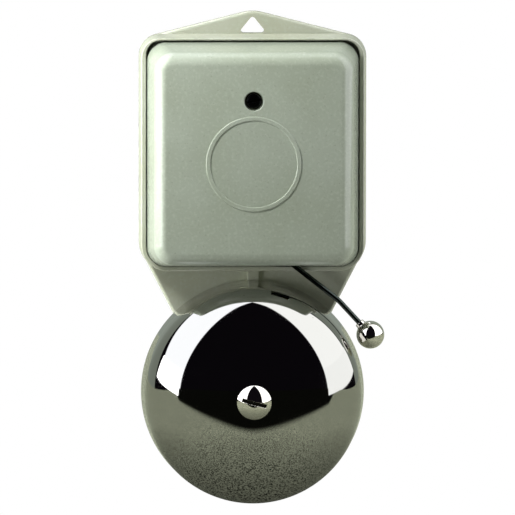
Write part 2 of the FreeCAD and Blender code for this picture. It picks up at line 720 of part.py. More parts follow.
def slot_box(name, across, wide, low, high):
    """The bar that cuts a screwdriver slot."""
    bar = doc.addObject("Part::Box", name)
    bar.setExpression("Length", formula(f"({across}) + 2 * overrun"))
    bar.setExpression("Width", formula(wide))
    bar.setExpression("Height", formula(f"({high}) - ({low})"))
    bar.setExpression("Placement.Base.x", formula(f"-({across}) / 2 - overrun"))
    bar.setExpression("Placement.Base.y", formula(f"-({wide}) / 2"))
    bar.setExpression("Placement.Base.z", formula(low))
    return bar


def joined(name, base, tool, kind="Part::Fuse"):
    """Two shapes added together, or the second cut from the first."""
    both = doc.addObject(kind, name)
    both.Base = base
    both.Tool = tool
    return both


def seat(shape, place, pointing, spin=0.0):
    """Puts a screw's seat at (x, depth, z), with its head pointing out one way."""
    x, depth, z = place
    roll = FreeCAD.Rotation(FreeCAD.Vector(0, 0, 1), spin)
    shape.Placement = FreeCAD.Placement(FreeCAD.Vector(), turns[pointing] * roll)
    shape.setExpression("Placement.Base.x", formula(x))
    shape.setExpression("Placement.Base.y", formula(f"-({depth})"))
    shape.setExpression("Placement.Base.z", formula(z))
    return shape


def cheese_screw(name, prefix, long):
    """A slotted screw with a flat round head that sits on z = 0."""
    head = cylinder(name + "_head", f"{prefix}_head", "0", f"{prefix}_head_tall")
    shank = cylinder(name + "_shank", f"{prefix}_across", f"-({long})", f"{prefix}_head_tall / 2")
    slot = slot_box(name + "_slot", f"{prefix}_head", f"{prefix}_head * slot_wide_share",
                    f"{prefix}_head_tall * (1 - slot_deep_share)", f"{prefix}_head_tall + overrun")
    return joined(name, joined(name + "_blank", head, shank), slot, "Part::Cut")


def group(name, shapes):
    """Several like pieces under one name."""
    together = doc.addObject("Part::Compound", name)
    together.Label = name
    together.Links = shapes
    return together


def screw_group(name, prefix, long, places, pointing):
    """Like screws, one at each place."""
    shapes = []
    spins = [value("first_screw_turn"), value("next_screw_turn")]
    for number, place in enumerate(places):
        shape = cheese_screw(f"{name}_{number + 1}", prefix, long)
        shapes.append(seat(shape, place, pointing, spins[number]))
    return group(name, shapes)


def make_gong_screw():
    """A broad domed screw with a wide slot."""
    cap = doc.addObject("Part::Ellipsoid", "gong_screw_cap")
    cap.setExpression("Radius1", formula("gong_screw_head_tall"))
    cap.setExpression("Radius2", formula("gong_screw_head / 2"))
    cap.Angle1 = 0
    cap.Angle2 = 90
    shank = cylinder("gong_screw_shank", "gong_screw_across",
                     f"-({gong_top} - {post_top} + gong_screw_long - overrun)", "gong_screw_head_tall / 4")
    slot = slot_box("gong_screw_slot", "gong_screw_head", "gong_slot_wide",
                    "gong_screw_head_tall - gong_slot_deep", "gong_screw_head_tall + overrun")
    shape = joined("gong_screw", joined("gong_screw_blank", cap, shank), slot, "Part::Cut")
    shape.Label = "gong_screw"
    return seat(shape, ("0", gong_top, gong_z), "front", value("gong_screw_turn"))


def make_rear_screws():
    """The two screws that hold the gong post and the cover pillar from behind."""
    recess = "(rear_screw_head_tall + hole_clear)"
    places = [("0", recess, z) for z in (gong_z, "well_z")]
    reaches = [f"{gong_boss_top} - {recess} + rear_screw_grip - overrun",
               f"plate_thick - {recess} + rear_screw_grip - overrun"]
    shapes = []
    for number, (place, reach) in enumerate(zip(places, reaches)):
        shape = cheese_screw(f"rear_screw_{number + 1}", "rear_screw", reach)
        shapes.append(seat(shape, place, "back", value("first_screw_turn") * (number + 1)))
    return group("rear_screws", shapes)


def make_cover_screw():
    shape = cheese_screw("cover_screw", "cover_screw", "cover_screw_long")
    shape.Label = "cover_screw"
    on_washer = f"{well_bottom} + cover_washer_thick"
    return seat(shape, ("0", on_washer, "well_z"), "front", value("cover_screw_turn"))


def washer(name, across, bore, thick, places, pointing="front"):
    """Flat washers, one at each place."""
    shapes = []
    for number, place in enumerate(places):
        tag = f"{name}_{number + 1}"
        plate = cylinder(tag + "_plate", across, "0", thick)
        hole = cylinder(tag + "_hole", bore, "-overrun", f"{thick} + overrun")
        shapes.append(seat(joined(tag, plate, hole, "Part::Cut"), place, pointing))
    return group(name, shapes)


def hexagon(piece, facing, across, near, far):
    """A six-sided length about the local axis, flats up and down."""
    corner = f"({across}) / 2 / cos(30 * 1 deg)"
    points = [(f"{corner} * cos({turn} * 1 deg)", f"{corner} * sin({turn} * 1 deg)")
              for turn in range(0, 360, 60)]
    return slab(piece, facing, points, near, far)


def make_cover_pillar():
    piece = body("cover_pillar", z="well_z")
    hexagon(piece, "front", "pillar_across", "plate_thick", pillar_top)
    disc(piece, "front", ("0", "0"), "cover_screw_across + 2 * running_gap",
         f"{well_bottom} - cover_screw_long - overrun", f"{pillar_top} + overrun", cut)
    disc(piece, "front", ("0", "0"), "rear_screw_across + 2 * seat_gap", "plate_thick - overrun",
         "plate_thick + rear_screw_grip", cut)
    return piece


# Magnet frame: one bent plate with a foot, a yoke for the cores and a lug for the spring
def make_magnet_frame():
    piece = body("magnet_frame")
    top = f"({hinge_z} + lug_tall)"
    foot = [(yoke_left, coils_low), (bobbin_right, coils_low), (bobbin_right, hinge_z),
            (lug_right, hinge_z), (lug_right, top), (yoke_left, top)]
    slab(piece, "front", foot, frame_rear, frame_front)
    box(piece, "front", (yoke_left, coils_low), (bobbin_left, coils_high), frame_rear,
        f"{magnet_depth} + bobbin_across / 2")
    box(piece, "front", (lug_left, hinge_z), (lug_right, top), frame_rear,
        f"{magnet_depth} + armature_wide / 2")
    for z in coil_places():
        disc(piece, "side", (magnet_depth, z), "core_shank + 2 * seat_gap", f"{yoke_left} - overrun",
             f"{bobbin_left} + overrun", cut)
    for depth, z in clamp_screw_places():
        disc(piece, "side", (depth, z), "clamp_screw_across + 2 * seat_gap", f"{lug_left} - overrun",
             f"{lug_right} + overrun", cut)
    for x in frame_screws_x:
        disc(piece, "front", (x, f"{hinge_z} + frame_screw_rise"), "small_screw_across + 2 * seat_gap",
             f"{frame_rear} - overrun", f"{frame_front} + overrun", cut)
    rear = value(frame_rear)
    soften(piece, "frame_bend",
           lambda edge: at_depth(edge, rear) and edge.BoundBox.XLength < close
           and (abs(edge.BoundBox.XMin - value(yoke_left)) < close
                or abs(edge.BoundBox.XMin - value(lug_right)) < close))
    return piece


def coil_places():
    """The two coils' heights."""
    return [f"({magnet_z} + coil_pitch / 2)", f"({magnet_z} - coil_pitch / 2)"]


def clamp_screw_places():
    """Depth and height of each screw that clamps the leaf spring."""
    z = f"({hinge_z} + clamp_screw_rise)"
    return [(f"({magnet_depth} - clamp_screw_pitch / 2)", z), (f"({magnet_depth} + clamp_screw_pitch / 2)", z)]


def make_core(name, z):
    piece = body(name, depth=magnet_depth, z=z)
    disc(piece, "side", ("0", "0"), "core_across", bobbin_left, pole_x)
    disc(piece, "side", ("0", "0"), "core_shank", yoke_left, bobbin_left)
    return piece


def make_bobbin(name, z):
    piece = body(name, depth=magnet_depth, z=z)
    disc(piece, "side", ("0", "0"), "core_across + 2 * running_gap + 2 * bobbin_wall",
         bobbin_left, bobbin_right)
    disc(piece, "side", ("0", "0"), "bobbin_across", bobbin_left, f"{bobbin_left} + bobbin_flange")
    disc(piece, "side", ("0", "0"), "bobbin_across", f"{bobbin_right} - bobbin_flange", bobbin_right)
    disc(piece, "side", ("0", "0"), "core_across + 2 * running_gap", f"{bobbin_left} - overrun",
         f"{bobbin_right} + overrun", cut)
    return piece


def make_winding(name, z):
    piece = body(name, depth=magnet_depth, z=z)
    near = f"{bobbin_left} + bobbin_flange + running_gap"
    far = f"{bobbin_right} - bobbin_flange - running_gap"
    disc(piece, "side", ("0", "0"), "winding_across", near, far)
    disc(piece, "side", ("0", "0"), "core_across + 4 * running_gap + 2 * bobbin_wall", f"{near} - overrun",
         f"{far} + overrun", cut)
    return piece


# Armature: an iron bar on a leaf spring, which carries the contact spring and the hammer
def make_armature():
    piece = body("armature", x=armature_x)
    near = f"({magnet_depth} - armature_wide / 2)"
    far = f"({magnet_depth} + armature_wide / 2)"
    box(piece, "front", ("-armature_thick / 2", armature_low), ("armature_thick / 2", armature_top), near, far)
    ends = [value(near), value(far)]
    soften(piece, "armature_round",
           lambda edge: edge.BoundBox.YLength < close and edge.BoundBox.ZLength < close
           and min(abs(edge.BoundBox.YMin + end) for end in ends) < close)
    disc(piece, "top", ("0", "hammer_depth"), "rod_across + 2 * seat_gap", f"{armature_low} - overrun",
         f"{armature_low} + rod_grip", cut)
    for z in rivet_places():
        disc(piece, "side", (magnet_depth, z), "rivet_across + 2 * seat_gap", "-armature_thick / 2 - overrun",
             "armature_thick / 2 + overrun", cut)
    return piece


def rivet_places():
    """The two rivets' heights."""
    return [rivet_z, f"({rivet_z} - rivet_pitch)"]


def make_armature_spring():
    piece = body("armature_spring")
    near = f"{magnet_depth} - leaf_wide / 2"
    box(piece, "front", (leaf_left, f"{armature_top} - leaf_grip"), (leaf_right, f"{hinge_z} + leaf_clamped"),
        near, f"{magnet_depth} + leaf_wide / 2")
    for z in rivet_places():
        disc(piece, "side", (magnet_depth, z), "rivet_across + 2 * seat_gap", f"{leaf_left} - overrun",
             f"{leaf_right} + overrun", cut)
    for depth, z in clamp_screw_places():
        disc(piece, "side", (depth, z), "clamp_screw_across + 2 * hole_clear", f"{leaf_left} - overrun",
             f"{leaf_right} + overrun", cut)
    return piece


def make_contact_spring():
    piece = body("contact_spring")
    top = f"({armature_top} - rivet_drop + rivet_head / 2)"
    step_top = f"({armature_top} - leaf_grip)"
    step_low = f"({step_top} - spring_step_run)"
    low = f"({step_top} - spring_long / 2)"
    inner, outer = f"({leaf_right} + spring_step)", spring_face
    outline = [(leaf_right, top), (leaf_right, step_top), (inner, step_low), (inner, low),
               (outer, low), (outer, step_low), (f"{leaf_right} + leaf_thick", step_top),
               (f"{leaf_right} + leaf_thick", top)]
    slab(piece, "front", outline, f"{magnet_depth} - spring_wide / 2", f"{magnet_depth} + spring_wide / 2")
    for z in rivet_places():
        disc(piece, "side", (magnet_depth, z), "rivet_across + 2 * seat_gap", f"{leaf_right} - overrun",
             f"{leaf_right} + leaf_thick + overrun", cut)
    return piece


def make_contact_tip():
    piece = body("contact_tip", depth=magnet_depth, z=contact_z)
    disc(piece, "side", ("0", "0"), "tip_across", spring_face, tip_face)
    return piece


def make_armature_rivets():
    shapes = []
    for number, z in enumerate(rivet_places()):
        tag = f"armature_rivet_{number + 1}"
        head = cylinder(tag + "_head", "rivet_head", "0", "rivet_head_tall")
        shank = cylinder(tag + "_shank", "rivet_across", "-armature_thick - 2 * leaf_thick",
                         "rivet_head_tall / 2")
        shapes.append(seat(joined(tag, head, shank), (f"{leaf_right} + leaf_thick", magnet_depth, z), "right"))
    return group("armature_rivets", shapes)


def make_clamp_plate():
    piece = body("clamp_plate")
    right = f"({leaf_left} - leaf_clear)"
    near, far = f"{magnet_depth} - leaf_wide / 2", f"{magnet_depth} + leaf_wide / 2"
    box(piece, "front", (f"{right} - clamp_thick", hinge_z), (right, f"{hinge_z} + leaf_clamped"), near, far)
    for depth, z in clamp_screw_places():
        disc(piece, "side", (depth, z), "clamp_screw_across + 2 * seat_gap", f"{right} - clamp_thick - overrun",
             f"{right} + overrun", cut)
    return piece


def make_clamp_screws():
    seat_x = f"{leaf_left} - leaf_clear - clamp_thick"
    long = f"{lug_right} - ({seat_x})"
    places = [(seat_x, depth, z) for depth, z in clamp_screw_places()]
    return screw_group("clamp_screws", "clamp_screw", long, places, "left")


# Contact screw, its bracket and the insulating block that keeps them off the frame
def make_contact_insulator():
    piece = body("contact_insulator")
    low = (f"{bracket_x} - insulator_margin", f"{contact_z} - bracket_wide / 2 - insulator_margin")
    high = (f"{bracket_x} + bracket_foot + insulator_margin",
            f"{contact_z} + bracket_wide / 2 + insulator_margin")
    box(piece, "front", low, high, "plate_thick", bracket_foot_depth)
    for x, z in bracket_screw_places():
        disc(piece, "front", (x, z), "small_screw_across + 2 * seat_gap", "plate_thick - overrun",
             f"{bracket_foot_depth} + overrun", cut)
    return piece


def make_contact_bracket():
    piece = body("contact_bracket")
    low, high = f"({contact_z} - bracket_wide / 2)", f"({contact_z} + bracket_wide / 2)"
    box(piece, "front", (bracket_x, low), (f"{bracket_x} + bracket_foot", high),
        bracket_foot_depth, bracket_top)
    box(piece, "front", (bracket_x, low), (bracket_right, high), bracket_foot_depth,
        f"{magnet_depth} + bracket_over")
    disc(piece, "side", (magnet_depth, contact_z), "contact_screw_across + 2 * running_gap",
         f"{bracket_x} - overrun", f"{bracket_right} + overrun", cut)
    for x, z in bracket_screw_places():
        disc(piece, "front", (x, z), "small_screw_across + 2 * seat_gap", f"{bracket_foot_depth} - overrun",
             f"{bracket_top} + overrun", cut)
    return piece


def make_contact_screw():
    """A slotted adjusting screw with its head at the right and its tip at the contact."""
    shape = cheese_screw("contact_screw", "contact_screw", "contact_screw_long")
    shape.Label = "contact_screw"
    return seat(shape, (f"{screw_tip} + contact_screw_long", magnet_depth, contact_z), "right",
                value("first_screw_turn"))


def make_contact_nut():
    piece = body("contact_nut", depth=magnet_depth, z=contact_z)
    hexagon(piece, "side", "contact_nut_across", bracket_right, f"{bracket_right} + contact_nut_thick")
    disc(piece, "side", ("0", "0"), "contact_screw_across + 2 * running_gap", f"{bracket_right} - overrun",
         f"{bracket_right} + contact_nut_thick + overrun", cut)
    return piece


# Terminal block with two clamping plates
def make_terminal_block():
    piece = body("terminal_block", x=block_x, z=block_z)
    box(piece, "front", ("-block_wide / 2", "-block_tall / 2"), ("block_wide / 2", "block_tall / 2"),
        "plate_thick", block_front)
    half_gap = "((terminal_pitch - terminal_wide) / 2 - hole_clear)"
    ridge_low = "(block_screw_pitch / 2 - small_screw_head / 2 - hole_clear)"
    box(piece, "front", (f"-{half_gap}", f"-{ridge_low}"), (half_gap, ridge_low), block_front,
        f"{block_front} + block_ridge")
    for side in ("-1", "1"):
        disc(piece, "front", (f"{side} * terminal_pitch / 2", "terminal_screw_rise"),
             "terminal_screw_across + 2 * seat_gap", f"{plate_front} - terminal_screw_long",
             f"{block_front} + overrun", cut)
        disc(piece, "front", ("0", f"{side} * block_screw_pitch / 2"), "small_screw_across + 2 * seat_gap",
             "plate_thick - overrun", f"{block_front} + overrun", cut)
    return piece


def terminal_places(depth):
    """Each terminal screw's place at a depth."""
    z = f"{block_z} + terminal_screw_rise"
    return [(f"{block_x} - terminal_pitch / 2", depth, z), (f"{block_x} + terminal_pitch / 2", depth, z)]


def make_terminal_plates():
    shapes = []
    for number, (x, depth, z) in enumerate(terminal_places(block_front)):
        tag = f"terminal_plate_{number + 1}"
        plate = doc.addObject("Part::Box", tag + "_blank")
        plate.setExpression("Length", formula("terminal_wide"))
        plate.setExpression("Width", formula("terminal_tall"))
        plate.setExpression("Height", formula("terminal_thick"))
        plate.setExpression("Placement.Base.x", formula("-terminal_wide / 2"))
        plate.setExpression("Placement.Base.y", formula("-terminal_tall / 2 - terminal_screw_rise"))
        hole = cylinder(tag + "_hole", "terminal_screw_across + 2 * seat_gap", "-overrun",
                        "terminal_thick + overrun")
        shapes.append(seat(joined(tag, plate, hole, "Part::Cut"), (x, depth, z), "front"))
    return group("terminal_plates", shapes)


# Hammer: a bent steel rod pressed into the armature, with a ball on its far end
def rod_points():
    """The rod's corners: its top in the armature, the root bend, the far bend and the ball."""
    x, top = value(armature_x), value(f"{armature_low} + rod_grip")
    bend = FreeCAD.Vector(value(rod_bend_x), 0, value(rod_bend_z))
    ball = FreeCAD.Vector(value(ball_x), 0, value(ball_z))
    root_z = bend.z + (bend.x - x) * math.tan(math.radians(value("rod_slope")))
    inset = (bend - ball).normalize() * value("ball_across / 2 - ball_bore_deep + running_gap")
    return [FreeCAD.Vector(x, 0, top), FreeCAD.Vector(x, 0, root_z), bend, ball + inset]


def tube(points, across, radii):
    """A round wire along straight runs joined by tangent arcs, and the path that it follows."""
    edges = []
    start = points[0]
    for corner, following, radius in zip(points[1:-1], points[2:], radii):
        to_start = (start - corner).normalize()
        onward = (following - corner).normalize()
        half = to_start.getAngle(onward) / 2
        reach = radius / math.tan(half)
        first, last = corner + to_start * reach, corner + onward * reach
        middle_way = (to_start + onward).normalize()
        centre = corner + middle_way * (radius / math.sin(half))
        edges.append(Part.LineSegment(start, first).toShape())
        edges.append(Part.Arc(first, centre - middle_way * radius, last).toShape())
        start = last
    edges.append(Part.LineSegment(start, points[-1]).toShape())
    path = Part.Wire(edges)
    ring = Part.Circle(points[0], (points[1] - points[0]).normalize(), across / 2)
    sweep = path.makePipeShell([Part.Wire(ring.toShape())], True, False)
    expected = path.Length * math.pi * across ** 2 / 4
    print(f"wire {path.Length:.2f} long, volume {sweep.Volume:.2f} against {expected:.2f}, radii",
          [round(radius, 2) for radius in radii])
    return sweep


def make_hammer_rod():
    piece = doc.addObject("Part::Feature", "hammer_rod")
    piece.Label = "hammer_rod"
    piece.Shape = tube(rod_points(), value("rod_across"), [value("rod_root_bend"), value("rod_far_bend")])
    piece.Placement = FreeCAD.Placement(FreeCAD.Vector(0, -value("hammer_depth"), 0), FreeCAD.Rotation())
    return piece


def make_hammer_ball():
    ball = doc.addObject("Part::Sphere", "hammer_ball_round")
    ball.setExpression("Radius", formula("ball_across / 2"))
    neck = cylinder("hammer_ball_neck", "ball_neck_across", "0", "ball_across / 2 + ball_neck_tall")
    bore = cylinder("hammer_ball_bore", "rod_across + 2 * seat_gap", "ball_across / 2 - ball_bore_deep",
                    "ball_across + ball_neck_tall")
    shape = joined("hammer_ball", joined("hammer_ball_blank", ball, neck), bore, "Part::Cut")
    shape.Label = "hammer_ball"
    points = rod_points()
    towards_rod = points[2] - points[3]
    shape.Placement.Rotation = FreeCAD.Rotation(FreeCAD.Vector(0, 0, 1), towards_rod)
    shape.setExpression("Placement.Base.x", formula(ball_x))
    shape.setExpression("Placement.Base.y", formula("-hammer_depth"))
    shape.setExpression("Placement.Base.z", formula(ball_z))
    return shape


# Leads: insulated wires from the terminals to the winding and to the contact bracket
def lead(name, places):
    """A wire through the places, each arc as large as its runs allow."""
    points = [FreeCAD.Vector(value(x), -value(depth), value(z)) for x, depth, z in places]
    radii = []
    for before, corner, after in zip(points, points[1:], points[2:]):
        turn = math.pi - (before - corner).getAngle(after - corner)
        shorter = min((before - corner).Length, (after - corner).Length)
        radii.append(0.45 * shorter / math.tan(turn / 2))
    piece = doc.addObject("Part::Feature", name)
    piece.Label = name
    piece.Shape = tube(points, value("lead_across"), radii)
    piece.Placement = FreeCAD.Placement()
    return piece


def make_leads():
    left, right = terminal_places(plate_front)
    on_plate = f"{plate_front} + lead_across / 2"
    plate_low = f"({block_z} - terminal_tall / 2)"
    winding_top = f"({magnet_z} + coil_pitch / 2 + winding_across / 2)"
    feed = [(left[0], on_plate, f"{plate_low} + lead_across"),
            (left[0], on_plate, f"{plate_low} - 4 * lead_across"),
            (f"{left[0]} - 5 * lead_across", f"{on_plate} + lead_across", f"{plate_low} - 7 * lead_across"),
            (f"{left[0]} - 10 * lead_across", f"{on_plate} + 2 * lead_across",
             f"{plate_low} - 11 * lead_across"),
            (f"{left[0]} - 12 * lead_across", magnet_depth, f"{winding_top} + 5 * lead_across"),
            (f"{left[0]} - 12 * lead_across", magnet_depth, f"{winding_top}")]
    on_foot = f"({bracket_top} + lead_across / 2)"
    foot_high = f"({contact_z} + bracket_wide / 2)"
    screw_x, screw_z = bracket_screw_places()[0]
    beside = f"({screw_x} - small_screw_head / 2 - lead_across / 2 - running_gap)"
    back = [(right[0], on_plate, f"{plate_low} + lead_across"),
            (right[0], on_plate, f"{plate_low} - 6 * lead_across"),
            (f"{right[0]} + 2 * lead_across", f"{on_plate} - lead_across", f"{plate_low} - 13 * lead_across"),
            (f"{beside} + lead_across", f"{on_foot} + 2 * lead_across", f"{foot_high} + 10 * lead_across"),
            (beside, on_foot, f"{foot_high} + 4 * lead_across"),
            (beside, on_foot, screw_z)]
    link_x = f"({bobbin_left} + bobbin_flange + 2 * lead_across)"
    between = [(link_x, magnet_depth, f"{z} {side} winding_across / 2")
               for z, side in zip(coil_places(), ("-", "+"))]
    tail_x = f"({bobbin_right} - bobbin_flange - 2 * lead_across)"
    tail = [(tail_x, f"{magnet_depth} - winding_across / 2", coil_places()[1]),
            (tail_x, frame_front, coil_places()[1])]
    return [lead("lead_feed", feed), lead("lead_return", back), lead("lead_link", between),
            lead("lead_tail", tail)]


def small_places(places, depth):
    """Screw places at one depth."""
    return [(x, depth, z) for x, z in places]


def make_all():
    """Every piece, in the order that it is put together."""
    frame_places = [(x, frame_front, f"{hinge_z} + frame_screw_rise")
                    for x in frame_screws_x]
    grip = "plate_thick - (plate_thick - small_screw_bite)"
    pieces = [make_base_plate(), make_cover(), make_cover_pillar(), make_rear_screws(), make_cover_screw()]
    pieces.append(washer("cover_screw_washer", "cover_washer_across", "cover_screw_across + 2 * hole_clear",
                         "cover_washer_thick", [("0", well_bottom, "well_z")]))
    pieces += [make_gong(), make_gong_post(), make_gong_washer(), make_gong_screw()]
    pieces += [make_magnet_frame(), screw_group("frame_screws", "small_screw",
                                                f"{frame_front} - plate_thick + {grip}", frame_places, "front")]
    for name, z in zip(("upper", "lower"), coil_places()):
        pieces += [make_core("core_" + name, z), make_bobbin("bobbin_" + name, z),
                   make_winding("winding_" + name, z)]
    pieces += [make_armature(), make_armature_spring(), make_contact_spring(), make_contact_tip(),
               make_armature_rivets(), make_clamp_plate(), make_clamp_screws()]
    pieces += [make_contact_insulator(), make_contact_bracket(), make_contact_screw(), make_contact_nut()]
    pieces.append(screw_group("bracket_screws", "small_screw", f"{bracket_top} - plate_thick + {grip}",
                              small_places(bracket_screw_places(), bracket_top), "front"))
    pieces += [make_terminal_block(), make_terminal_plates()]
    pieces.append(screw_group("block_screws", "small_screw", f"{block_front} - plate_thick + {grip}",
                              small_places(block_screw_places(), block_front), "front"))
    pieces.append(washer("terminal_washers", "terminal_washer_across", "terminal_screw_across + 2 * seat_gap",
                         "terminal_washer_thick", terminal_places(plate_front)))
    pieces.append(screw_group("terminal_screws", "terminal_screw",
                              "terminal_washer_thick + terminal_screw_long - overrun",
                              terminal_places(f"{plate_front} + terminal_washer_thick"), "front"))
    pieces += [make_hammer_rod(), make_hammer_ball()] + make_leads()
    return pieces


def check(pieces):
    """Stops if anything failed to build, or if a cut took nothing away."""
    doc.recompute()
    for thing in doc.Objects:
        if "Invalid" in thing.State or "Error" in thing.State:
            raise RuntimeError(f"{thing.Name} is {thing.State}")
        if thing.TypeId in ("PartDesign::Pocket", "PartDesign::Groove", "PartDesign::SubtractiveLoft"):
            if thing.Shape.Volume > thing.BaseFeature.Shape.Volume - close:
                raise RuntimeError(f"{thing.Name} cuts nothing")
    for piece in pieces:
        if piece.Shape.isNull() or not piece.Shape.isValid():
            raise RuntimeError(f"{piece.Label} has no valid shape")


pieces = make_all()
check(pieces)
os.makedirs("parts", exist_ok=True)
for piece in pieces:
    piece.Shape.exportStep(os.path.join("parts", piece.Label + ".step"))
    bounds = piece.Shape.BoundBox
    print(f"{piece.Label}: {len(piece.Shape.Solids)} solid(s), {piece.Shape.Volume:.1f} mm3")
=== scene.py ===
import json
import math

import bmesh
import bpy
from mathutils import Matrix, Vector

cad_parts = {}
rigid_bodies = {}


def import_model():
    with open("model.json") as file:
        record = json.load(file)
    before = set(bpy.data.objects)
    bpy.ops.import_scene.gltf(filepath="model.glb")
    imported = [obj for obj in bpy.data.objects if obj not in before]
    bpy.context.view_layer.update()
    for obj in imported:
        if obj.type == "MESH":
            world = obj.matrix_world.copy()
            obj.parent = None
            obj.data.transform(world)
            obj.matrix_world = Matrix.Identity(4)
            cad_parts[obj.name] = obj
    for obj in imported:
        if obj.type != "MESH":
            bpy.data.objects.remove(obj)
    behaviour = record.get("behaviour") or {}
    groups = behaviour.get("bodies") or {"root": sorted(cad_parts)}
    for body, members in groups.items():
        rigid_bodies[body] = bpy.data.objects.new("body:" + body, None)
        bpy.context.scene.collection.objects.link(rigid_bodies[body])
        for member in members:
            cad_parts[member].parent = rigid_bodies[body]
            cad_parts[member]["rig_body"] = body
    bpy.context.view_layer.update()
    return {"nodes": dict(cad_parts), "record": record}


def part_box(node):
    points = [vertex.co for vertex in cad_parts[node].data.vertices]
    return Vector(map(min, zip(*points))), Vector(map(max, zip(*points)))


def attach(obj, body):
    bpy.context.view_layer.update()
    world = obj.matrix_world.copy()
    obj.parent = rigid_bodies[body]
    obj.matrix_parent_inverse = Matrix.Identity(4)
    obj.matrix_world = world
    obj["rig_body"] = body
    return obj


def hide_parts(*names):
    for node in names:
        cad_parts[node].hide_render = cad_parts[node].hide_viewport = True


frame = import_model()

nodes = frame["nodes"]
scene = bpy.context.scene
mm = 0.001
print("frame loaded:", len(nodes), "nodes")


def linear(hexColour):
    # sRGB hex to the linear colour that shaders use
    parts = [int(hexColour[i:i + 2], 16) / 255 for i in (1, 3, 5)]
    return tuple(p / 12.92 if p <= 0.04045 else ((p + 0.055) / 1.055) ** 2.4 for p in parts) + (1.0,)


def addNode(tree, kind, inputs=None, **settings):
    # adds a node; an input is a value, another node's output, or a list of outputs. Inputs 6 and 7 of a
    # colour Mix are what its factor gives at 0 and 1, and 1 to 4 of a Map Range are from and to
    node = tree.nodes.new(kind)
    for name, given in settings.items():
        setattr(node, name, given)
    for socket, given in (inputs or {}).items():
        for one in given if isinstance(given, list) else [given]:
            if isinstance(one, bpy.types.NodeSocket):
                tree.links.new(one, node.inputs[socket])
            else:
                node.inputs[socket].default_value = one
    return node


def startFinish(name, colour, metallic, roughness, seed=0.0):
    # a material, its shader, and the piece's own place in millimetres, moved on by the seed
    material = bpy.data.materials.new(name)
    material.use_nodes = True
    material.diffuse_color = linear(colour)
    tree = material.node_tree
    shader = tree.nodes["Principled BSDF"]
    shader.inputs["Base Color"].default_value = linear(colour)
    shader.inputs["Metallic"].default_value = metallic
    shader.inputs["Roughness"].default_value = roughness
    coords = addNode(tree, "ShaderNodeTexCoord")
    place = addNode(tree, "ShaderNodeMapping", {0: coords.outputs["Object"], 1: (seed, seed, seed),
                                                3: (1 / mm, 1 / mm, 1 / mm)})
    return material, tree, shader, place.outputs[0]


def feedShader(tree, shader, sources):
    # links patterns to the shader's sockets
    for socket, source in sources.items():
        tree.links.new(source, shader.inputs[socket])


# ABS, injection moulded and satin: a soft sheen over an even colour, with faint clouding, pin specks of
# dust in the skin and slow sink waves, so its highlights run soft-edged and slightly wavy
absPlastic = {
    "cover": "#a0a99a", "coverCloud": "#99a291", "base": "#acb0a1", "baseCloud": "#a5a996",
    "gloss": 0.16, "dull": 0.24, "dullFrom": (0.3, 0.7), "ior": 1.52, "specular": 1.0,
    "cloudMm": 24.0, "cloudFrom": (0.35, 0.65),
    # dust in the skin is about 0.1 mm across, and drawn as coarse as the picture can show
    "speck": "#6d7062", "speckMm": 0.7, "speckDetail": 2.0, "speckFrom": (0.64, 0.74), "speckMost": 0.3,
    # a fine pale grain, as left by handling
    "scuff": "#b9c0b2", "scuffMm": 1.1, "scuffDetail": 4.0, "scuffFrom": (0.5, 0.75), "scuffMost": 0.3,
    "sinkMm": 14.0, "sinkDeep": 0.6, "sinkBump": 0.25, "peelMm": 0.7, "peelDeep": 0.05, "peelBump": 0.12,
}


def mouldedAbs(name, light, cloud, seed):
    a = absPlastic
    material, tree, shader, place = startFinish(name, light, 0.0, a["gloss"], seed)
    shader.inputs["IOR"].default_value = a["ior"]
    shader.inputs["Specular IOR Level"].default_value = a["specular"]
    clouds = addNode(tree, "ShaderNodeTexNoise", {"Vector": place, "Scale": 1 / a["cloudMm"], "Detail": 3.0})
    low, high = a["cloudFrom"]
    clouding = addNode(tree, "ShaderNodeMapRange", {0: clouds.outputs[0], 1: low, 2: high})
    colour = addNode(tree, "ShaderNodeMix", {0: clouding.outputs[0], 6: linear(cloud), 7: linear(light)},
                     data_type="RGBA").outputs[2]
    for mark in ("speck", "scuff"):
        grain = addNode(tree, "ShaderNodeTexNoise", {"Vector": place, "Scale": 1 / a[mark + "Mm"],
                                                     "Detail": a[mark + "Detail"]})
        low, high = a[mark + "From"]
        cover = addNode(tree, "ShaderNodeMapRange", {0: grain.outputs[0], 1: low, 2: high,
                                                     4: a[mark + "Most"]})
        colour = addNode(tree, "ShaderNodeMix", {0: cover.outputs[0], 6: colour, 7: linear(a[mark])},
                         data_type="RGBA").outputs[2]
    # the scuffs' grain dulls the sheen too
    low, high = a["dullFrom"]
    sheen = addNode(tree, "ShaderNodeMapRange", {0: grain.outputs[0], 1: low, 2: high, 3: a["gloss"],
                                                 4: a["dull"]})
    sink = addNode(tree, "ShaderNodeTexNoise", {"Vector": place, "Scale": 1 / a["sinkMm"], "Detail": 1.0})
    waves = addNode(tree, "ShaderNodeBump", {"Height": sink.outputs[0], "Strength": a["sinkBump"],
                                             "Distance": a["sinkDeep"] * mm})
    peel = addNode(tree, "ShaderNodeTexNoise", {"Vector": place, "Scale": 1 / a["peelMm"], "Detail": 2.0})
    skin = addNode(tree, "ShaderNodeBump", {"Height": peel.outputs[0], "Strength": a["peelBump"],
                                            "Distance": a["peelDeep"] * mm, "Normal": waves.outputs[0]})
    feedShader(tree, shader, {"Base Color": colour, "Roughness": sheen.outputs[0],
                              "Normal": skin.outputs[0]})
    return material


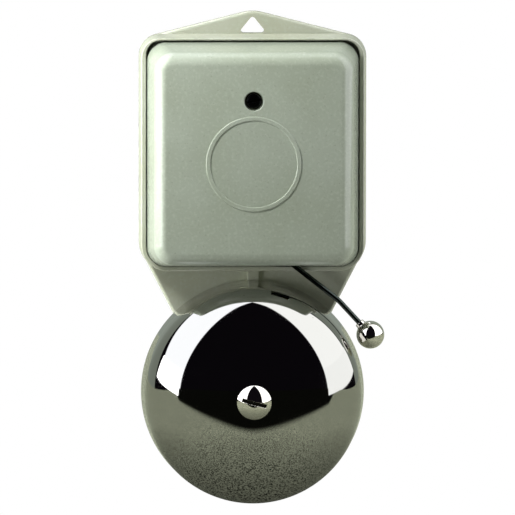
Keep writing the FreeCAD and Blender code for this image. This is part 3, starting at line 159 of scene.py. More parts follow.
# Bright nickel on pressed or turned brass, buffed: a slightly warm mirror that blurs in faint patches
# where cloths have rubbed it, with a few pin holes that read as dark dots. The gong's has gone darker
# than that of the small turned parts.
nickel = {"dome": "#b3b2ae", "bright": "#e6e2da", "gloss": 0.03, "worn": 0.07, "wornFrom": (0.4, 0.75),
          "patchMm": 6.0, "pin": "#25211f", "pinMm": 5.0, "pinFrom": (0.03, 0.05), "pinMost": 0.7,
          "buffMm": 0.8, "buffDeep": 0.02, "buffBump": 0.03}


def buffedNickel(name, plate, seed):
    n = nickel
    material, tree, shader, place = startFinish(name, plate, 1.0, n["gloss"], seed)
    patches = addNode(tree, "ShaderNodeTexNoise", {"Vector": place, "Scale": 1 / n["patchMm"], "Detail": 5.0})
    low, high = n["wornFrom"]
    wear = addNode(tree, "ShaderNodeMapRange", {0: patches.outputs[0], 1: low, 2: high, 3: n["gloss"],
                                                4: n["worn"]})
    pins = addNode(tree, "ShaderNodeTexVoronoi", {"Vector": place, "Scale": 1 / n["pinMm"]}, feature="F1")
    low, high = n["pinFrom"]
    pinning = addNode(tree, "ShaderNodeMapRange", {0: pins.outputs[0], 1: low, 2: high, 3: n["pinMost"],
                                                   4: 0.0})
    colour = addNode(tree, "ShaderNodeMix", {0: pinning.outputs[0], 6: linear(plate),
                                             7: linear(n["pin"])}, data_type="RGBA")
    buffs = addNode(tree, "ShaderNodeTexNoise", {"Vector": place, "Scale": 1 / n["buffMm"], "Detail": 6.0})
    bump = addNode(tree, "ShaderNodeBump", {"Height": buffs.outputs[0], "Strength": n["buffBump"],
                                            "Distance": n["buffDeep"] * mm})
    feedShader(tree, shader, {"Base Color": colour.outputs[2], "Roughness": wear.outputs[0],
                              "Normal": bump.outputs[0]})
    return material


# Metals as worked: the light one of each pair shows along the tool's or the roller's lines, and the
# gloss changes with them, so flat parts look drawn one way instead of blank. The last number is how
# many lines there are to a millimetre along X, Y and Z.
workedMetals = {
    "zinc_steel": ("steelZincPlated", "#c3c6c8", "#9fa3a7", 0.3, (0.4, 4.0, 4.0)),  # pale and cold
    "soft_iron": ("ironGround", "#8f8c88", "#6d6a66", 0.42, (0.4, 4.0, 4.0)),  # dull, with grinding lines
    "black_screw": ("steelBlackOxide", "#2a2b2d", "#151517", 0.3, (3.0, 3.0, 3.0)),  # black, a low sheen
    "blued_steel": ("steelWireBlued", "#4b534f", "#2c322f", 0.16, (3.0, 3.0, 3.0)),  # dark, a thin glint
    "spring_bronze": ("bronzeRolled", "#b98a53", "#9a6f3f", 0.28, (4.0, 4.0, 0.4)),  # reddish, rolled
    "brass": ("brassTurned", "#cfa95a", "#a9843c", 0.26, (0.4, 4.0, 4.0)),  # warm yellow, tool lines
    "contact_silver": ("silverPressed", "#dcdad6", "#b8b5b0", 0.2, (3.0, 3.0, 3.0)),  # nearly white
    "enamelled_wire": ("copperEnamelledWound", "#a8502a", "#7f3517", 0.25, (0.6, 0.6, 0.6)),  # red-brown
}
worked = {"lineFrom": (0.3, 0.7), "duller": 0.1, "glossier": 0.05, "lineDeep": 0.03, "lineBump": 0.15}


def workedMetal(name, light, dark, roughness, linesPerMm):
    w = worked
    material, tree, shader, place = startFinish(name, light, 1.0, roughness)
    drawn = addNode(tree, "ShaderNodeMapping", {0: place, 3: linesPerMm})
    lines = addNode(tree, "ShaderNodeTexNoise", {"Vector": drawn.outputs[0], "Scale": 1.0, "Detail": 4.0})
    low, high = w["lineFrom"]
    tone = addNode(tree, "ShaderNodeMapRange", {0: lines.outputs[0], 1: low, 2: high})
    colour = addNode(tree, "ShaderNodeMix", {0: tone.outputs[0], 6: linear(dark), 7: linear(light)},
                     data_type="RGBA")
    gloss = addNode(tree, "ShaderNodeMapRange", {0: lines.outputs[0], 1: low, 2: high,
                                                 3: roughness + w["duller"], 4: roughness - w["glossier"]})
    bump = addNode(tree, "ShaderNodeBump", {"Height": lines.outputs[0], "Strength": w["lineBump"],
                                            "Distance": w["lineDeep"] * mm})
    feedShader(tree, shader, {"Base Color": colour.outputs[2], "Roughness": gloss.outputs[0],
                              "Normal": bump.outputs[0]})
    return material


# Insulators, pressed, moulded or extruded: duller than the metals, with a fine mottle. The last number
# is the mottle's grain in millimetres.
insulators = {
    "black_phenolic": ("phenolicPressed", "#1d1a18", "#0f0d0c", 0.38, 0.8),  # brownish black
    "bobbin_nylon": ("nylonMoulded", "#e3dcc6", "#d3cab0", 0.42, 0.8),  # milky
    "fibre": ("fibreVulcanised", "#7b2e22", "#5f2118", 0.6, 0.4),  # dark red and dull
    "red_lead": ("pvcRedExtruded", "#a5231e", "#8f1b17", 0.4, 0.5),  # red with a soft sheen
    "blue_lead": ("pvcBlueExtruded", "#2a4b8c", "#213d75", 0.4, 0.5),  # blue with a soft sheen
}
mottle = {"grainFrom": (0.35, 0.65), "grainDeep": 0.04, "grainBump": 0.2}


def mottled(name, light, dark, roughness, grainMm):
    m = mottle
    material, tree, shader, place = startFinish(name, light, 0.0, roughness)
    grains = addNode(tree, "ShaderNodeTexNoise", {"Vector": place, "Scale": 1 / grainMm, "Detail": 5.0})
    low, high = m["grainFrom"]
    tone = addNode(tree, "ShaderNodeMapRange", {0: grains.outputs[0], 1: low, 2: high})
    colour = addNode(tree, "ShaderNodeMix", {0: tone.outputs[0], 6: linear(dark), 7: linear(light)},
                     data_type="RGBA")
    bump = addNode(tree, "ShaderNodeBump", {"Height": grains.outputs[0], "Strength": m["grainBump"],
                                            "Distance": m["grainDeep"] * mm})
    feedShader(tree, shader, {"Base Color": colour.outputs[2], "Normal": bump.outputs[0]})
    return material


finishes = {
    "ivory_case": mouldedAbs("absPaleMoulded", absPlastic["base"], absPlastic["baseCloud"], 31.0),
    "green_cover": mouldedAbs("absGreyGreenMoulded", absPlastic["cover"], absPlastic["coverCloud"], 7.0),
    "plated": buffedNickel("nickelBuffedTurned", nickel["bright"], 3.0),
    "gong": buffedNickel("nickelBuffedSpun", nickel["dome"], 11.0),
}
finishes.update({slot: workedMetal(*look) for slot, look in workedMetals.items()})
finishes.update({slot: mottled(*look) for slot, look in insulators.items()})
slotOf = {part["node"]: part["material_slot"] for part in frame["record"]["subparts"]}
bodyOf = {name: nodes[name]["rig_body"] for name in nodes}
print("finishes made:", len(finishes))


def newPiece(name, bm):
    mesh = bpy.data.meshes.new(name)
    bm.to_mesh(mesh)
    bm.free()
    piece = bpy.data.objects.new(name, mesh)
    scene.collection.objects.link(piece)
    return piece


def baked(piece):
    # turns the modifiers' result into a plain mesh
    graph = bpy.context.evaluated_depsgraph_get()
    mesh = bpy.data.meshes.new_from_object(piece.evaluated_get(graph))
    piece.modifiers.clear()
    piece.data = mesh
    return piece


def smoothed(piece, angle):
    # edges that turn by more than the angle, in degrees, stay sharp
    for face in piece.data.polygons:
        face.use_smooth = True
    piece.data.set_sharp_from_angle(angle=math.radians(angle))
    return piece


def placed(piece, node):
    # gives the piece its finish and body, and lets it stand for its CAD node
    piece.data.materials.clear()
    piece.data.materials.append(finishes.get(node, finishes[slotOf[node]]))
    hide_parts(node)
    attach(piece, bodyOf[node])
    return piece


# what the trees and the cuts need, in millimetres: how far out the turned path lies (an outline is
# measured from it), how near two points count as one, and a hair's width with the share of it that a
# cut may miss by
growing = {"axisOffset": 10.0, "merge": 0.0005, "hair": 0.01, "hairShare": 0.001, "coreSides": 64}


def startTree(name, sizes):
    # a Geometry Nodes tree with named inputs: the shape it works on, then its sizes
    tree = bpy.data.node_groups.new(name, "GeometryNodeTree")
    tree.interface.new_socket("Shape", in_out="INPUT", socket_type="NodeSocketGeometry")
    for each, kind in sizes.items():
        tree.interface.new_socket(each, in_out="INPUT", socket_type="NodeSocket" + kind)
    tree.interface.new_socket("Shape", in_out="OUTPUT", socket_type="NodeSocketGeometry")
    return tree, addNode(tree, "NodeGroupInput").outputs


def endTree(tree, shape, finish):
    real = addNode(tree, "GeometryNodeRealizeInstances", {0: shape})
    painted = addNode(tree, "GeometryNodeSetMaterial", {0: real.outputs[0], "Material": finish})
    addNode(tree, "NodeGroupOutput", {0: painted.outputs[0]})
    return tree


def grown(name, tree, points, edges, values, matrix):
    # runs a tree on a few points, and keeps what grows as a plain mesh in its place
    mesh = bpy.data.meshes.new(name)
    mesh.from_pydata(points, edges, [])
    if "spin" in values:
        spin = mesh.attributes.new("spin", "FLOAT", "POINT")
        spin.data.foreach_set("value", values["spin"])
    piece = bpy.data.objects.new(name, mesh)
    scene.collection.objects.link(piece)
    modifier = piece.modifiers.new(tree.name, "NODES")
    modifier.node_group = tree
    for item in tree.interface.items_tree:
        if item.in_out == "INPUT" and item.name in values:
            modifier[item.identifier] = values[item.name]
    baked(piece)
    bm = bmesh.new()
    bm.from_mesh(piece.data)
    bmesh.ops.recalc_face_normals(bm, faces=bm.faces)
    bmesh.ops.transform(bm, matrix=matrix, verts=bm.verts)
    bm.to_mesh(piece.data)
    bm.free()
    return piece


def makeTurningTree():
    # an outline is carried round the Z axis, as on a lathe
    tree, given = startTree("turning", {"Steps": "Int", "Axis Offset": "Float", "Finish": "Material"})
    outline = addNode(tree, "GeometryNodeMeshToCurve", {0: given["Shape"]})
    path = addNode(tree, "GeometryNodeCurvePrimitiveCircle", {"Resolution": given["Steps"],
                                                              "Radius": given["Axis Offset"]})
    skin = addNode(tree, "GeometryNodeCurveToMesh", {0: path.outputs[0], 1: outline.outputs[0]})
    whole = addNode(tree, "GeometryNodeMergeByDistance", {0: skin.outputs[0],
                                                          "Distance": growing["merge"] * mm})
    return endTree(tree, whole.outputs[0], given["Finish"])


def makeWindingTree():
    # wire in touching turns on a round core, or a thread's ridge where the wire has few sides
    tree, given = startTree("winding", {"Radius": "Float", "Pitch": "Float", "Length": "Float",
                                        "Wire": "Float", "Sides": "Int", "Steps": "Int", "Core": "Float",
                                        "Finish": "Material"})
    turns = addNode(tree, "ShaderNodeMath", {0: given["Length"], 1: given["Pitch"]}, operation="DIVIDE")
    helix = addNode(tree, "GeometryNodeCurveSpiral", {
        "Resolution": given["Steps"], "Rotations": turns.outputs[0], "Start Radius": given["Radius"],
        "End Radius": given["Radius"], "Height": given["Length"]})
    section = addNode(tree, "GeometryNodeCurvePrimitiveCircle", {"Resolution": given["Sides"],
                                                                 "Radius": given["Wire"]})
    wire = addNode(tree, "GeometryNodeCurveToMesh", {0: helix.outputs[0], 1: section.outputs[0],
                                                     "Fill Caps": True})
    half = addNode(tree, "ShaderNodeMath", {0: given["Length"], 1: 0.5}, operation="MULTIPLY")
    middle = addNode(tree, "ShaderNodeCombineXYZ", {2: half.outputs[0]})
    core = addNode(tree, "GeometryNodeMeshCylinder", {"Vertices": growing["coreSides"],
                                                      "Radius": given["Core"], "Depth": given["Length"]})
    moved = addNode(tree, "GeometryNodeTransform", {0: core.outputs[0], "Translation": middle.outputs[0]})
    both = addNode(tree, "GeometryNodeJoinGeometry", {0: [wire.outputs[0], moved.outputs[0]]})
    return endTree(tree, both.outputs[0], given["Finish"])


def makeSettingTree():
    # one made screw is set at every point, each left turned as its spin says
    tree, given = startTree("setting", {"Screw": "Object", "Finish": "Material"})
    screw = addNode(tree, "GeometryNodeObjectInfo", {0: given["Screw"], "As Instance": True})
    spin = addNode(tree, "GeometryNodeInputNamedAttribute", {"Name": "spin"}, data_type="FLOAT")
    turn = addNode(tree, "ShaderNodeCombineXYZ", {2: spin.outputs[0]})
    facing = addNode(tree, "FunctionNodeEulerToRotation", {0: turn.outputs[0]})
    row = addNode(tree, "GeometryNodeInstanceOnPoints", {
        "Points": given["Shape"], "Instance": screw.outputs["Geometry"], "Rotation": facing.outputs[0]})
    return endTree(tree, row.outputs[0], given["Finish"])


turning, winding, setting = makeTurningTree(), makeWindingTree(), makeSettingTree()
print("trees built")


def turned(name, profile, steps, node, matrix=Matrix(), closed=False):
    # profile: points (radius, height) in millimetres; a radius of 0 closes a pole
    off = growing["axisOffset"]
    points = [((radius - off) * mm, -height * mm, 0) for radius, height in profile]
    edges = [(k, k + 1) for k in range(len(points) - 1)] + ([(len(points) - 1, 0)] if closed else [])
    return grown(name, turning, points, edges,
                 {"Steps": steps, "Axis Offset": off * mm, "Finish": finishes[slotOf[node]]}, matrix)


def arc(centre, radius, start, end, count):
    # points (radius, height) along an arc, angles in degrees from the radial direction
    return [(centre[0] + radius * math.cos(math.radians(start + (end - start) * k / count)),
             centre[1] + radius * math.sin(math.radians(start + (end - start) * k / count)))
            for k in range(count + 1)]


def frontward(x, depth, z):
    # local Z points out of the wall, to the viewer
    return Matrix.Translation((x * mm, -depth * mm, z * mm)) @ Matrix.Rotation(math.radians(90), 4, "X")


def slotted(piece, wide, floorHigh, edge, turn=0.0):
    # sinks a screwdriver slot into a turned head: the mesh is cut along the slot's sides,
    # and what lies between them goes down to the slot's floor
    bm = bmesh.new()
    bm.from_mesh(piece.data)
    across = Vector((-math.sin(math.radians(turn)), math.cos(math.radians(turn)), 0))
    half, floorAt, hair = wide / 2 * mm, floorHigh * mm, growing["hair"] * mm
    for place in (half + edge * mm, half, half - 2 * hair):
        for side in (-1, 1):
            bmesh.ops.bisect_plane(bm, geom=bm.verts[:] + bm.edges[:] + bm.faces[:],
                                   dist=growing["hairShare"] * hair, plane_co=across * place * side,
                                   plane_no=across)
    for vert in bm.verts:
        reach = abs(vert.co.dot(across))
        if reach < half - hair and vert.co.z > floorAt:
            vert.co.z = floorAt
        elif reach < half + hair and vert.co.z > floorAt:
            vert.co.z = max(vert.co.z - edge * mm, floorAt)
    bm.to_mesh(piece.data)
    bm.free()
    return piece


gong = {"axisZ": -85.4, "across": 80.0, "lift": 8.0, "skirt": 14.7, "flare": 4.9, "shoulder": 16.0,
        "crown": 4.67, "wall": 1.3, "bore": 5.1, "lip": 0.28, "lipShare": 0.3, "ease": 21.0,
        "easeFrom": 48.0, "steps": 288, "outerSteps": (36, 24, 40), "innerSteps": (24, 32), "smooth": 40}


def makeGong():
    g = gong
    lean = math.radians(g["flare"])
    reach, lip, lift = g["across"] / 2, g["lip"], g["lift"]
    bendX = reach - g["skirt"] * math.tan(lean) - g["shoulder"] * math.cos(lean)
    bendRise = g["skirt"] - g["shoulder"] * math.sin(lean)
    top = lift + bendRise + g["shoulder"] + g["crown"]
    bend = (bendX, lift + bendRise)
    # outside, a wider arc eases the shoulder into the crown, as spinning leaves it
    turn = math.radians(g["easeFrom"])
    ease = (bend[0] + (g["shoulder"] - g["ease"]) * math.cos(turn),
            bend[1] + (g["shoulder"] - g["ease"]) * math.sin(turn))
    under = top - g["ease"]
    middle = (0, (under ** 2 - ease[0] ** 2 - ease[1] ** 2) / (2 * (under - ease[1])))
    crownRadius = top - middle[1]
    join = math.degrees(math.acos(ease[0] / (crownRadius - g["ease"])))
    boreAt = math.degrees(math.acos(g["bore"] / 2 / crownRadius))
    shoulderSteps, easeSteps, crownSteps = g["outerSteps"]
    outer = arc(bend, g["shoulder"], g["flare"], g["easeFrom"], shoulderSteps)
    outer += arc(ease, g["ease"], g["easeFrom"], join, easeSteps)[1:]
    outer += arc(middle, crownRadius, join, boreAt, crownSteps)[1:]
    # inside, the shoulder runs straight into the crown
    over = g["shoulder"] + g["crown"]
    crownRadius = (bendX ** 2 + over ** 2 - g["shoulder"] ** 2) / (2 * g["crown"])
    middle = (0, top - crownRadius)
    join = math.degrees(math.acos(bendX / (crownRadius - g["shoulder"])))
    boreAt = math.degrees(math.acos(g["bore"] / 2 / (crownRadius - g["wall"])))
    crownSteps, shoulderSteps = g["innerSteps"]
    inner = arc(middle, crownRadius - g["wall"], boreAt, join, crownSteps)
    inner += arc(bend, g["shoulder"] - g["wall"], join, g["flare"], shoulderSteps)[1:]
    # the rim is rubbed round from the inside to the outside
    inside, rubbed = reach - g["wall"] / math.cos(lean), g["lipShare"] * lip
    rim = [(inside, lift + lip), (inside + rubbed, lift + rubbed), (inside + lip, lift),
           (reach - lip, lift), (reach - rubbed, lift + rubbed), (reach - lip * math.tan(lean), lift + lip)]
    piece = turned("gong_dome", rim + outer + inner, g["steps"], "gong", frontward(0, 0, g["axisZ"]), True)
    return placed(smoothed(piece, g["smooth"]), "gong")


gongScrew = {"across": 12.2, "tall": 3.0, "seat": 42.0, "shank": 5.0, "shankEnd": 28.65, "point": 0.3,
             "underCut": 0.3, "rubbed": (0.08, 0.06), "skirt": 0.22, "slotWide": 1.3, "slotDeep": 1.4,
             "edge": 0.08, "turn": -15.0, "steps": 128, "domeSteps": 48, "smooth": 35}


def makeGongScrew():
    s = gongScrew
    half, tall, shank, end = s["across"] / 2, s["tall"], s["shank"] / 2, s["shankEnd"] - s["seat"]
    crown = (half ** 2 + (tall - s["skirt"]) ** 2) / (2 * (tall - s["skirt"]))
    lean = math.degrees(math.acos(half / crown))
    dome = arc((0, tall - crown), crown, lean, 90, s["domeSteps"])[:-1] + [(0, tall)]
    inset, rise = s["rubbed"]
    profile = [(0, end), (shank - s["point"], end), (shank, end + s["point"]), (shank, 0.0),
               (half - s["underCut"], 0.0), (half - inset, rise)] + dome
    piece = turned("gong_screw_domed", profile, s["steps"], "gong_screw")
    slotted(piece, s["slotWide"], tall - s["slotDeep"], s["edge"], s["turn"])
    piece.data.transform(frontward(0, s["seat"], gong["axisZ"]))
    return placed(smoothed(piece, s["smooth"]), "gong_screw")


makeGong()
makeGongScrew()
print("gong and its screw made")

rod = {"across": 1.9, "depth": 14.5, "points": [(9.5, -26.0), (9.5, -35.35), (30.70, -52.04), (41.6, -63.85)],
       "bends": [3.0, 14.0], "bendStep": 3.0, "sides": 24, "smooth": 40}


def bentPath(points, bends):
    # straight runs joined by arcs, as a wire is bent round a pin
    path = [Vector(points[0])]
    for before, corner, after, radius in zip(points, points[1:], points[2:], bends):
        here = Vector(corner)
        into, out = (here - Vector(before)).normalized(), (Vector(after) - here).normalized()
        turn = into.angle(out)
        side = 1 if into.x * out.y - into.y * out.x > 0 else -1
        spoke = Vector((into.y, -into.x)) * side * radius
        middle = here - into * radius * math.tan(turn / 2) - spoke
        count = max(2, int(math.degrees(turn) / rod["bendStep"]))
        for k in range(count + 1):
            angle = side * turn * k / count
            path.append(middle + Matrix.Rotation(angle, 2) @ spoke)
    path.append(Vector(points[-1]))
    return path


def makeRod():
    r = rod
    path = bentPath(r["points"], r["bends"])
    angles = [2 * math.pi * n / r["sides"] for n in range(r["sides"])]
    bm = bmesh.new()
    rings = []
    for k, here in enumerate(path):
        along = (path[min(k + 1, len(path) - 1)] - path[max(k - 1, 0)]).normalized()
        side, out = Vector((-along.y, 0, along.x)), Vector((0, -1, 0))
        middle = Vector((here.x, -r["depth"], here.y))
        ring = [middle + (side * math.cos(a) + out * math.sin(a)) * r["across"] / 2 for a in angles]
        rings.append([bm.verts.new(point * mm) for point in ring])
    for one, two in zip(rings, rings[1:]):
        for n in range(r["sides"]):
            m = (n + 1) % r["sides"]
            bm.faces.new((one[n], one[m], two[m], two[n]))
    bm.faces.new(rings[0])
    bm.faces.new(rings[-1])
    bmesh.ops.recalc_face_normals(bm, faces=bm.faces)
    return placed(smoothed(newPiece("hammer_rod_bent", bm), r["smooth"]), "hammer_rod")


# "fillet" and "edge" hold the points where the neck leaves the ball and where it ends, as how far they
# lie outside and above the one corner, and inside and below the other
ball = {"centre": (42.05, -64.40), "across": 10.0, "neckAcross": 3.4, "neckTall": 1.0, "dish": 0.3,
        "fillet": ((0.12, 0.1), (0.0, 0.3)), "edge": ((0.0, 0.25), (0.1, 0.07), (0.3, 0.0)),
        "poleGap": 2.0, "neckGap": 3.0, "steps": 128, "arcSteps": 60, "smooth": 35}


def makeBall():
    b = ball
    radius, neck = b["across"] / 2, b["neckAcross"] / 2
    meets = math.degrees(math.acos(neck / radius))
    top, end = radius * math.sin(math.radians(meets)), radius + b["neckTall"]
    profile = [(0, -radius)] + arc((0, 0), radius, b["poleGap"] - 90, meets - b["neckGap"], b["arcSteps"])
    profile += [(neck + x, top + z) for x, z in b["fillet"]] + [(neck - x, end - z) for x, z in b["edge"]]
    profile += [(rod["across"] / 2, end), (0, end - b["dish"])]
    (x1, z1), (x2, z2) = rod["points"][-2:]
    aim = Vector((x1 - x2, 0, z1 - z2)).to_track_quat("Z", "Y").to_matrix().to_4x4()
    place = Matrix.Translation((b["centre"][0] * mm, -rod["depth"] * mm, b["centre"][1] * mm))
    piece = turned("hammer_ball_turned", profile, b["steps"], "hammer_ball", place @ aim)
    return placed(smoothed(piece, b["smooth"]), "hammer_ball")


makeRod()
makeBall()
print("hammer made")

# how a flat round head's corners are rubbed: "rubbed" holds points inside its side and below its top
cheese = {"point": 0.3, "under": 0.1, "sideShare": 0.75, "cornerShare": 0.88,
          "rubbed": ((0.32, 0.07), (0.7, 0.02)), "flatShare": 0.5}


def cheeseHead(across, tall, shank, long):
    # outline of a screw with a flat round head that sits on height 0
    c, half, thin = cheese, across / 2, shank / 2
    under = [(0, -long), (thin - c["point"], -long), (thin, -long + c["point"]), (thin, 0),
             (half - c["under"], 0), (half, c["under"])]
    corner = [(half, tall * c["sideShare"]), (half - c["under"], tall * c["cornerShare"])]
    corner += [(half - x, tall - z) for x, z in c["rubbed"]]
    return under + corner + [(half * c["flatShare"], tall), (0, tall)]


coverScrew = {"seat": (0.0, 28.5, 20.9), "across": 5.0, "tall": 1.8, "shank": 3.0, "long": 12.0,
              "plain": 4.0, "pitch": 0.5, "ridge": 0.2, "ridgeSides": 4, "ridgeSteps": 32, "ridgeFrom": 0.3,
              "slotWide": 0.9, "slotDeep": 0.9, "edge": 0.06, "turn": 12.0, "steps": 96, "smooth": 35}


def makeCoverScrew():
    s, radius, ridge = coverScrew, coverScrew["shank"] / 2, coverScrew["ridge"]
    outline = cheeseHead(s["across"], s["tall"], s["shank"] - 2 * ridge, s["long"])
    piece = turned("cover_screw_slotted", outline, s["steps"], "cover_screw")
    slotted(piece, s["slotWide"], s["tall"] - s["slotDeep"], s["edge"], s["turn"])
    # the thread's ridge is wound round the plain shank
    thread = grown("cover_screw_thread", winding, [(0, 0, 0)], [],
                   {"Radius": (radius - ridge) * mm, "Pitch": s["pitch"] * mm,
                    "Length": (s["long"] - s["plain"]) * mm, "Wire": ridge * mm, "Sides": s["ridgeSides"],
                    "Steps": s["ridgeSteps"], "Core": (radius - 2 * ridge) * mm,
                    "Finish": finishes[slotOf["cover_screw"]]},
                   Matrix.Translation((0, 0, (s["ridgeFrom"] - s["long"]) * mm)))
    bm = bmesh.new()
    bm.from_mesh(piece.data)
    bm.from_mesh(thread.data)
    bm.to_mesh(piece.data)
    bm.free()
    bpy.data.objects.remove(thread)
    piece.data.transform(frontward(*s["seat"]))
    return placed(smoothed(piece, s["smooth"]), "cover_screw")


# sets of two like screws: head height and shank in millimetres, and which way the heads point
screwSets = {
    "frame_screws": {"tall": 1.5, "shank": 2.5, "facing": "front"},
    "block_screws": {"tall": 1.5, "shank": 2.5, "facing": "front"},
    "bracket_screws": {"tall": 1.5, "shank": 2.5, "facing": "front"},
    "terminal_screws": {"tall": 2.0, "shank": 3.5, "facing": "front"},
    "clamp_screws": {"tall": 1.5, "shank": 2.5, "facing": "right"},
    "rear_screws": {"tall": 1.6, "shank": 3.0, "facing": "back"},
}
screwHead = {"slotWideShare": 0.2, "slotDeepShare": 0.5, "edge": 0.05, "spins": (20.0, -35.0), "steps": 64,
             "turns": {"front": (90, "X"), "back": (-90, "X"), "right": (90, "Y")}, "smooth": 35}


def makeScrewSet(node):
    s, h = screwSets[node], screwHead
    low, high = (Vector(corner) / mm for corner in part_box(node))
    angle, axis = h["turns"][s["facing"]]
    turn = Matrix.Rotation(math.radians(angle), 4, axis)
    corners = [turn.inverted() @ low, turn.inverted() @ high]
    least = Vector(min(c[i] for c in corners) for i in range(3))
    most = Vector(max(c[i] for c in corners) for i in range(3))
    size = most - least
    across = min(size.x, size.y)
    half, seat = across / 2, most.z - s["tall"]
    places = [(least.x + half, most.y - half, seat), (most.x - half, least.y + half, seat)]
    one = turned("one_screw", cheeseHead(across, s["tall"], s["shank"], size.z - s["tall"]), h["steps"], node)
    slotted(one, across * h["slotWideShare"], s["tall"] * (1 - h["slotDeepShare"]), h["edge"])
    smoothed(one, h["smooth"])
    piece = grown(node + "_set", setting, [Vector(place) * mm for place in places], [],
                  {"Screw": one, "Finish": finishes[slotOf[node]],
                   "spin": [math.radians(each) for each in h["spins"]]}, turn)
    bpy.data.objects.remove(one)
    return placed(smoothed(piece, h["smooth"]), node)


makeCoverScrew()
for node in screwSets:
    makeScrewSet(node)
print("screws made")

coil = {"wire": 0.42, "pitch": 0.44, "coreShare": 0.7, "sides": 8, "steps": 40, "smooth": 60}


def makeWinding(node):
    # one visible layer of wire along X over the layers below it
    low, high = (Vector(corner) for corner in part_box(node))
    middle, wire = (low + high) / 2, coil["wire"] * mm
    outer, end = (high.z - low.z) / 2, wire / 2
    place = Matrix.Translation((low.x + end, middle.y, middle.z)) @ Matrix.Rotation(math.radians(90), 4, "Y")
    piece = grown(node + "_turns", winding, [(0, 0, 0)], [],
                  {"Radius": outer - wire / 2, "Pitch": coil["pitch"] * mm, "Length": high.x - low.x - wire,
                   "Wire": wire / 2, "Sides": coil["sides"], "Steps": coil["steps"],
                   "Core": outer - wire * coil["coreShare"], "Finish": finishes[slotOf[node]]}, place)
    return placed(smoothed(piece, coil["smooth"]), node)


for node in ("winding_upper", "winding_lower"):
    makeWinding(node)
print("windings made")

# how far a piece's edges are broken, in millimetres: "usual" unless it has its own; wires stay round
edgeBreak = {"usual": 0.1, "base_plate": 0.15, "cover": 0.12, "lead_feed": 0.0, "lead_return": 0.0,
             "lead_link": 0.0, "lead_tail": 0.0}
refining = {"merge": 0.001, "flatAngle": 0.4, "breakAngle": 40, "segments": 2, "smooth": 32}


def refined(node):
    # a CAD node's copy, merged, its flat triangles joined and its edges broken as a real part's are
    r, width = refining, edgeBreak.get(node, edgeBreak["usual"])
    bm = bmesh.new()
    bm.from_mesh(nodes[node].data)
    bmesh.ops.remove_doubles(bm, verts=bm.verts, dist=r["merge"] * mm)
    bmesh.ops.dissolve_limit(bm, angle_limit=math.radians(r["flatAngle"]), verts=bm.verts, edges=bm.edges)
    piece = newPiece(node + "_piece", bm)
    if width:
        bevel = piece.modifiers.new("edges", "BEVEL")
        bevel.width = width * mm
        bevel.segments = r["segments"]
        bevel.limit_method = "ANGLE"
        bevel.angle_limit = math.radians(r["breakAngle"])
        bevel.miter_outer = "MITER_ARC"
    smoothed(piece, r["smooth"])
    piece.modifiers.new("weights", "WEIGHTED_NORMAL").keep_sharp = True
    return placed(baked(piece), node)


for node in [name for name in nodes if not nodes[name].hide_render]:
    refined(node)
print("case and movement made")

# Studio, seen only by mirror-like surfaces and only as directions: two tall soft boxes with a dark room
# between them and a grey-green sweep behind. X is to the right, Y into the wall and Z up. Each plane is
# given by the way it faces and how far that way it starts, and softened a little. Each light has two
# parts, and fills the directions that lie beyond every plane named in one of them.
studio = {
    "soft": 0.012, "room": (0.005, 0.004, 0.006, 1.0),
    "planes": {
        "toLeft": ((-1.0, 0.0, 0.0), 0.0), "toRight": ((1.0, 0.0, 0.0), 0.0),
        "sweepLow": ((0.0, 1.0, -0.5), 0.24), "sweepRight": ((-0.25, 1.0, 0.0), 0.3),
        "leftInner": ((-0.777, 0.629, 0.0), 0.0), "leftFoot": ((0.095, -0.176, 1.0), 0.0),
        "leftOuter": ((-0.165, -1.0, 0.0), 0.0), "leftTop": ((0.138, -0.722, 0.678), 0.0),
        "rightInner": ((0.755, 0.656, 0.0), 0.0), "rightFoot": ((-0.042, -0.169, 1.0), 0.0),
        "rightOuter": ((0.53, -1.0, 0.0), 0.0), "rightTop": ((0.53, -1.0, 0.1), 0.0),
    },
    "lights": {
        "sweep": (linear("#979f95"), [("sweepLow", "toLeft"), ("sweepRight", "toRight")]),
        "leftBox": ((2.15, 2.2, 2.35, 1.0), [("leftOuter", "leftInner", "leftFoot", "toLeft"),
                                             ("leftTop", "leftInner", "leftFoot", "toLeft")]),
        "rightBox": ((2.0, 2.03, 2.06, 1.0), [("rightOuter", "rightInner", "rightFoot", "toRight"),
                                              ("rightTop", "rightInner", "rightFoot", "toRight")]),
    },
    # what lights the dull surfaces, from below and from above
    "below": (0.15, 0.147, 0.115, 1.0), "above": (0.09, 0.092, 0.094, 1.0), "rise": (-0.4, 0.8),
}


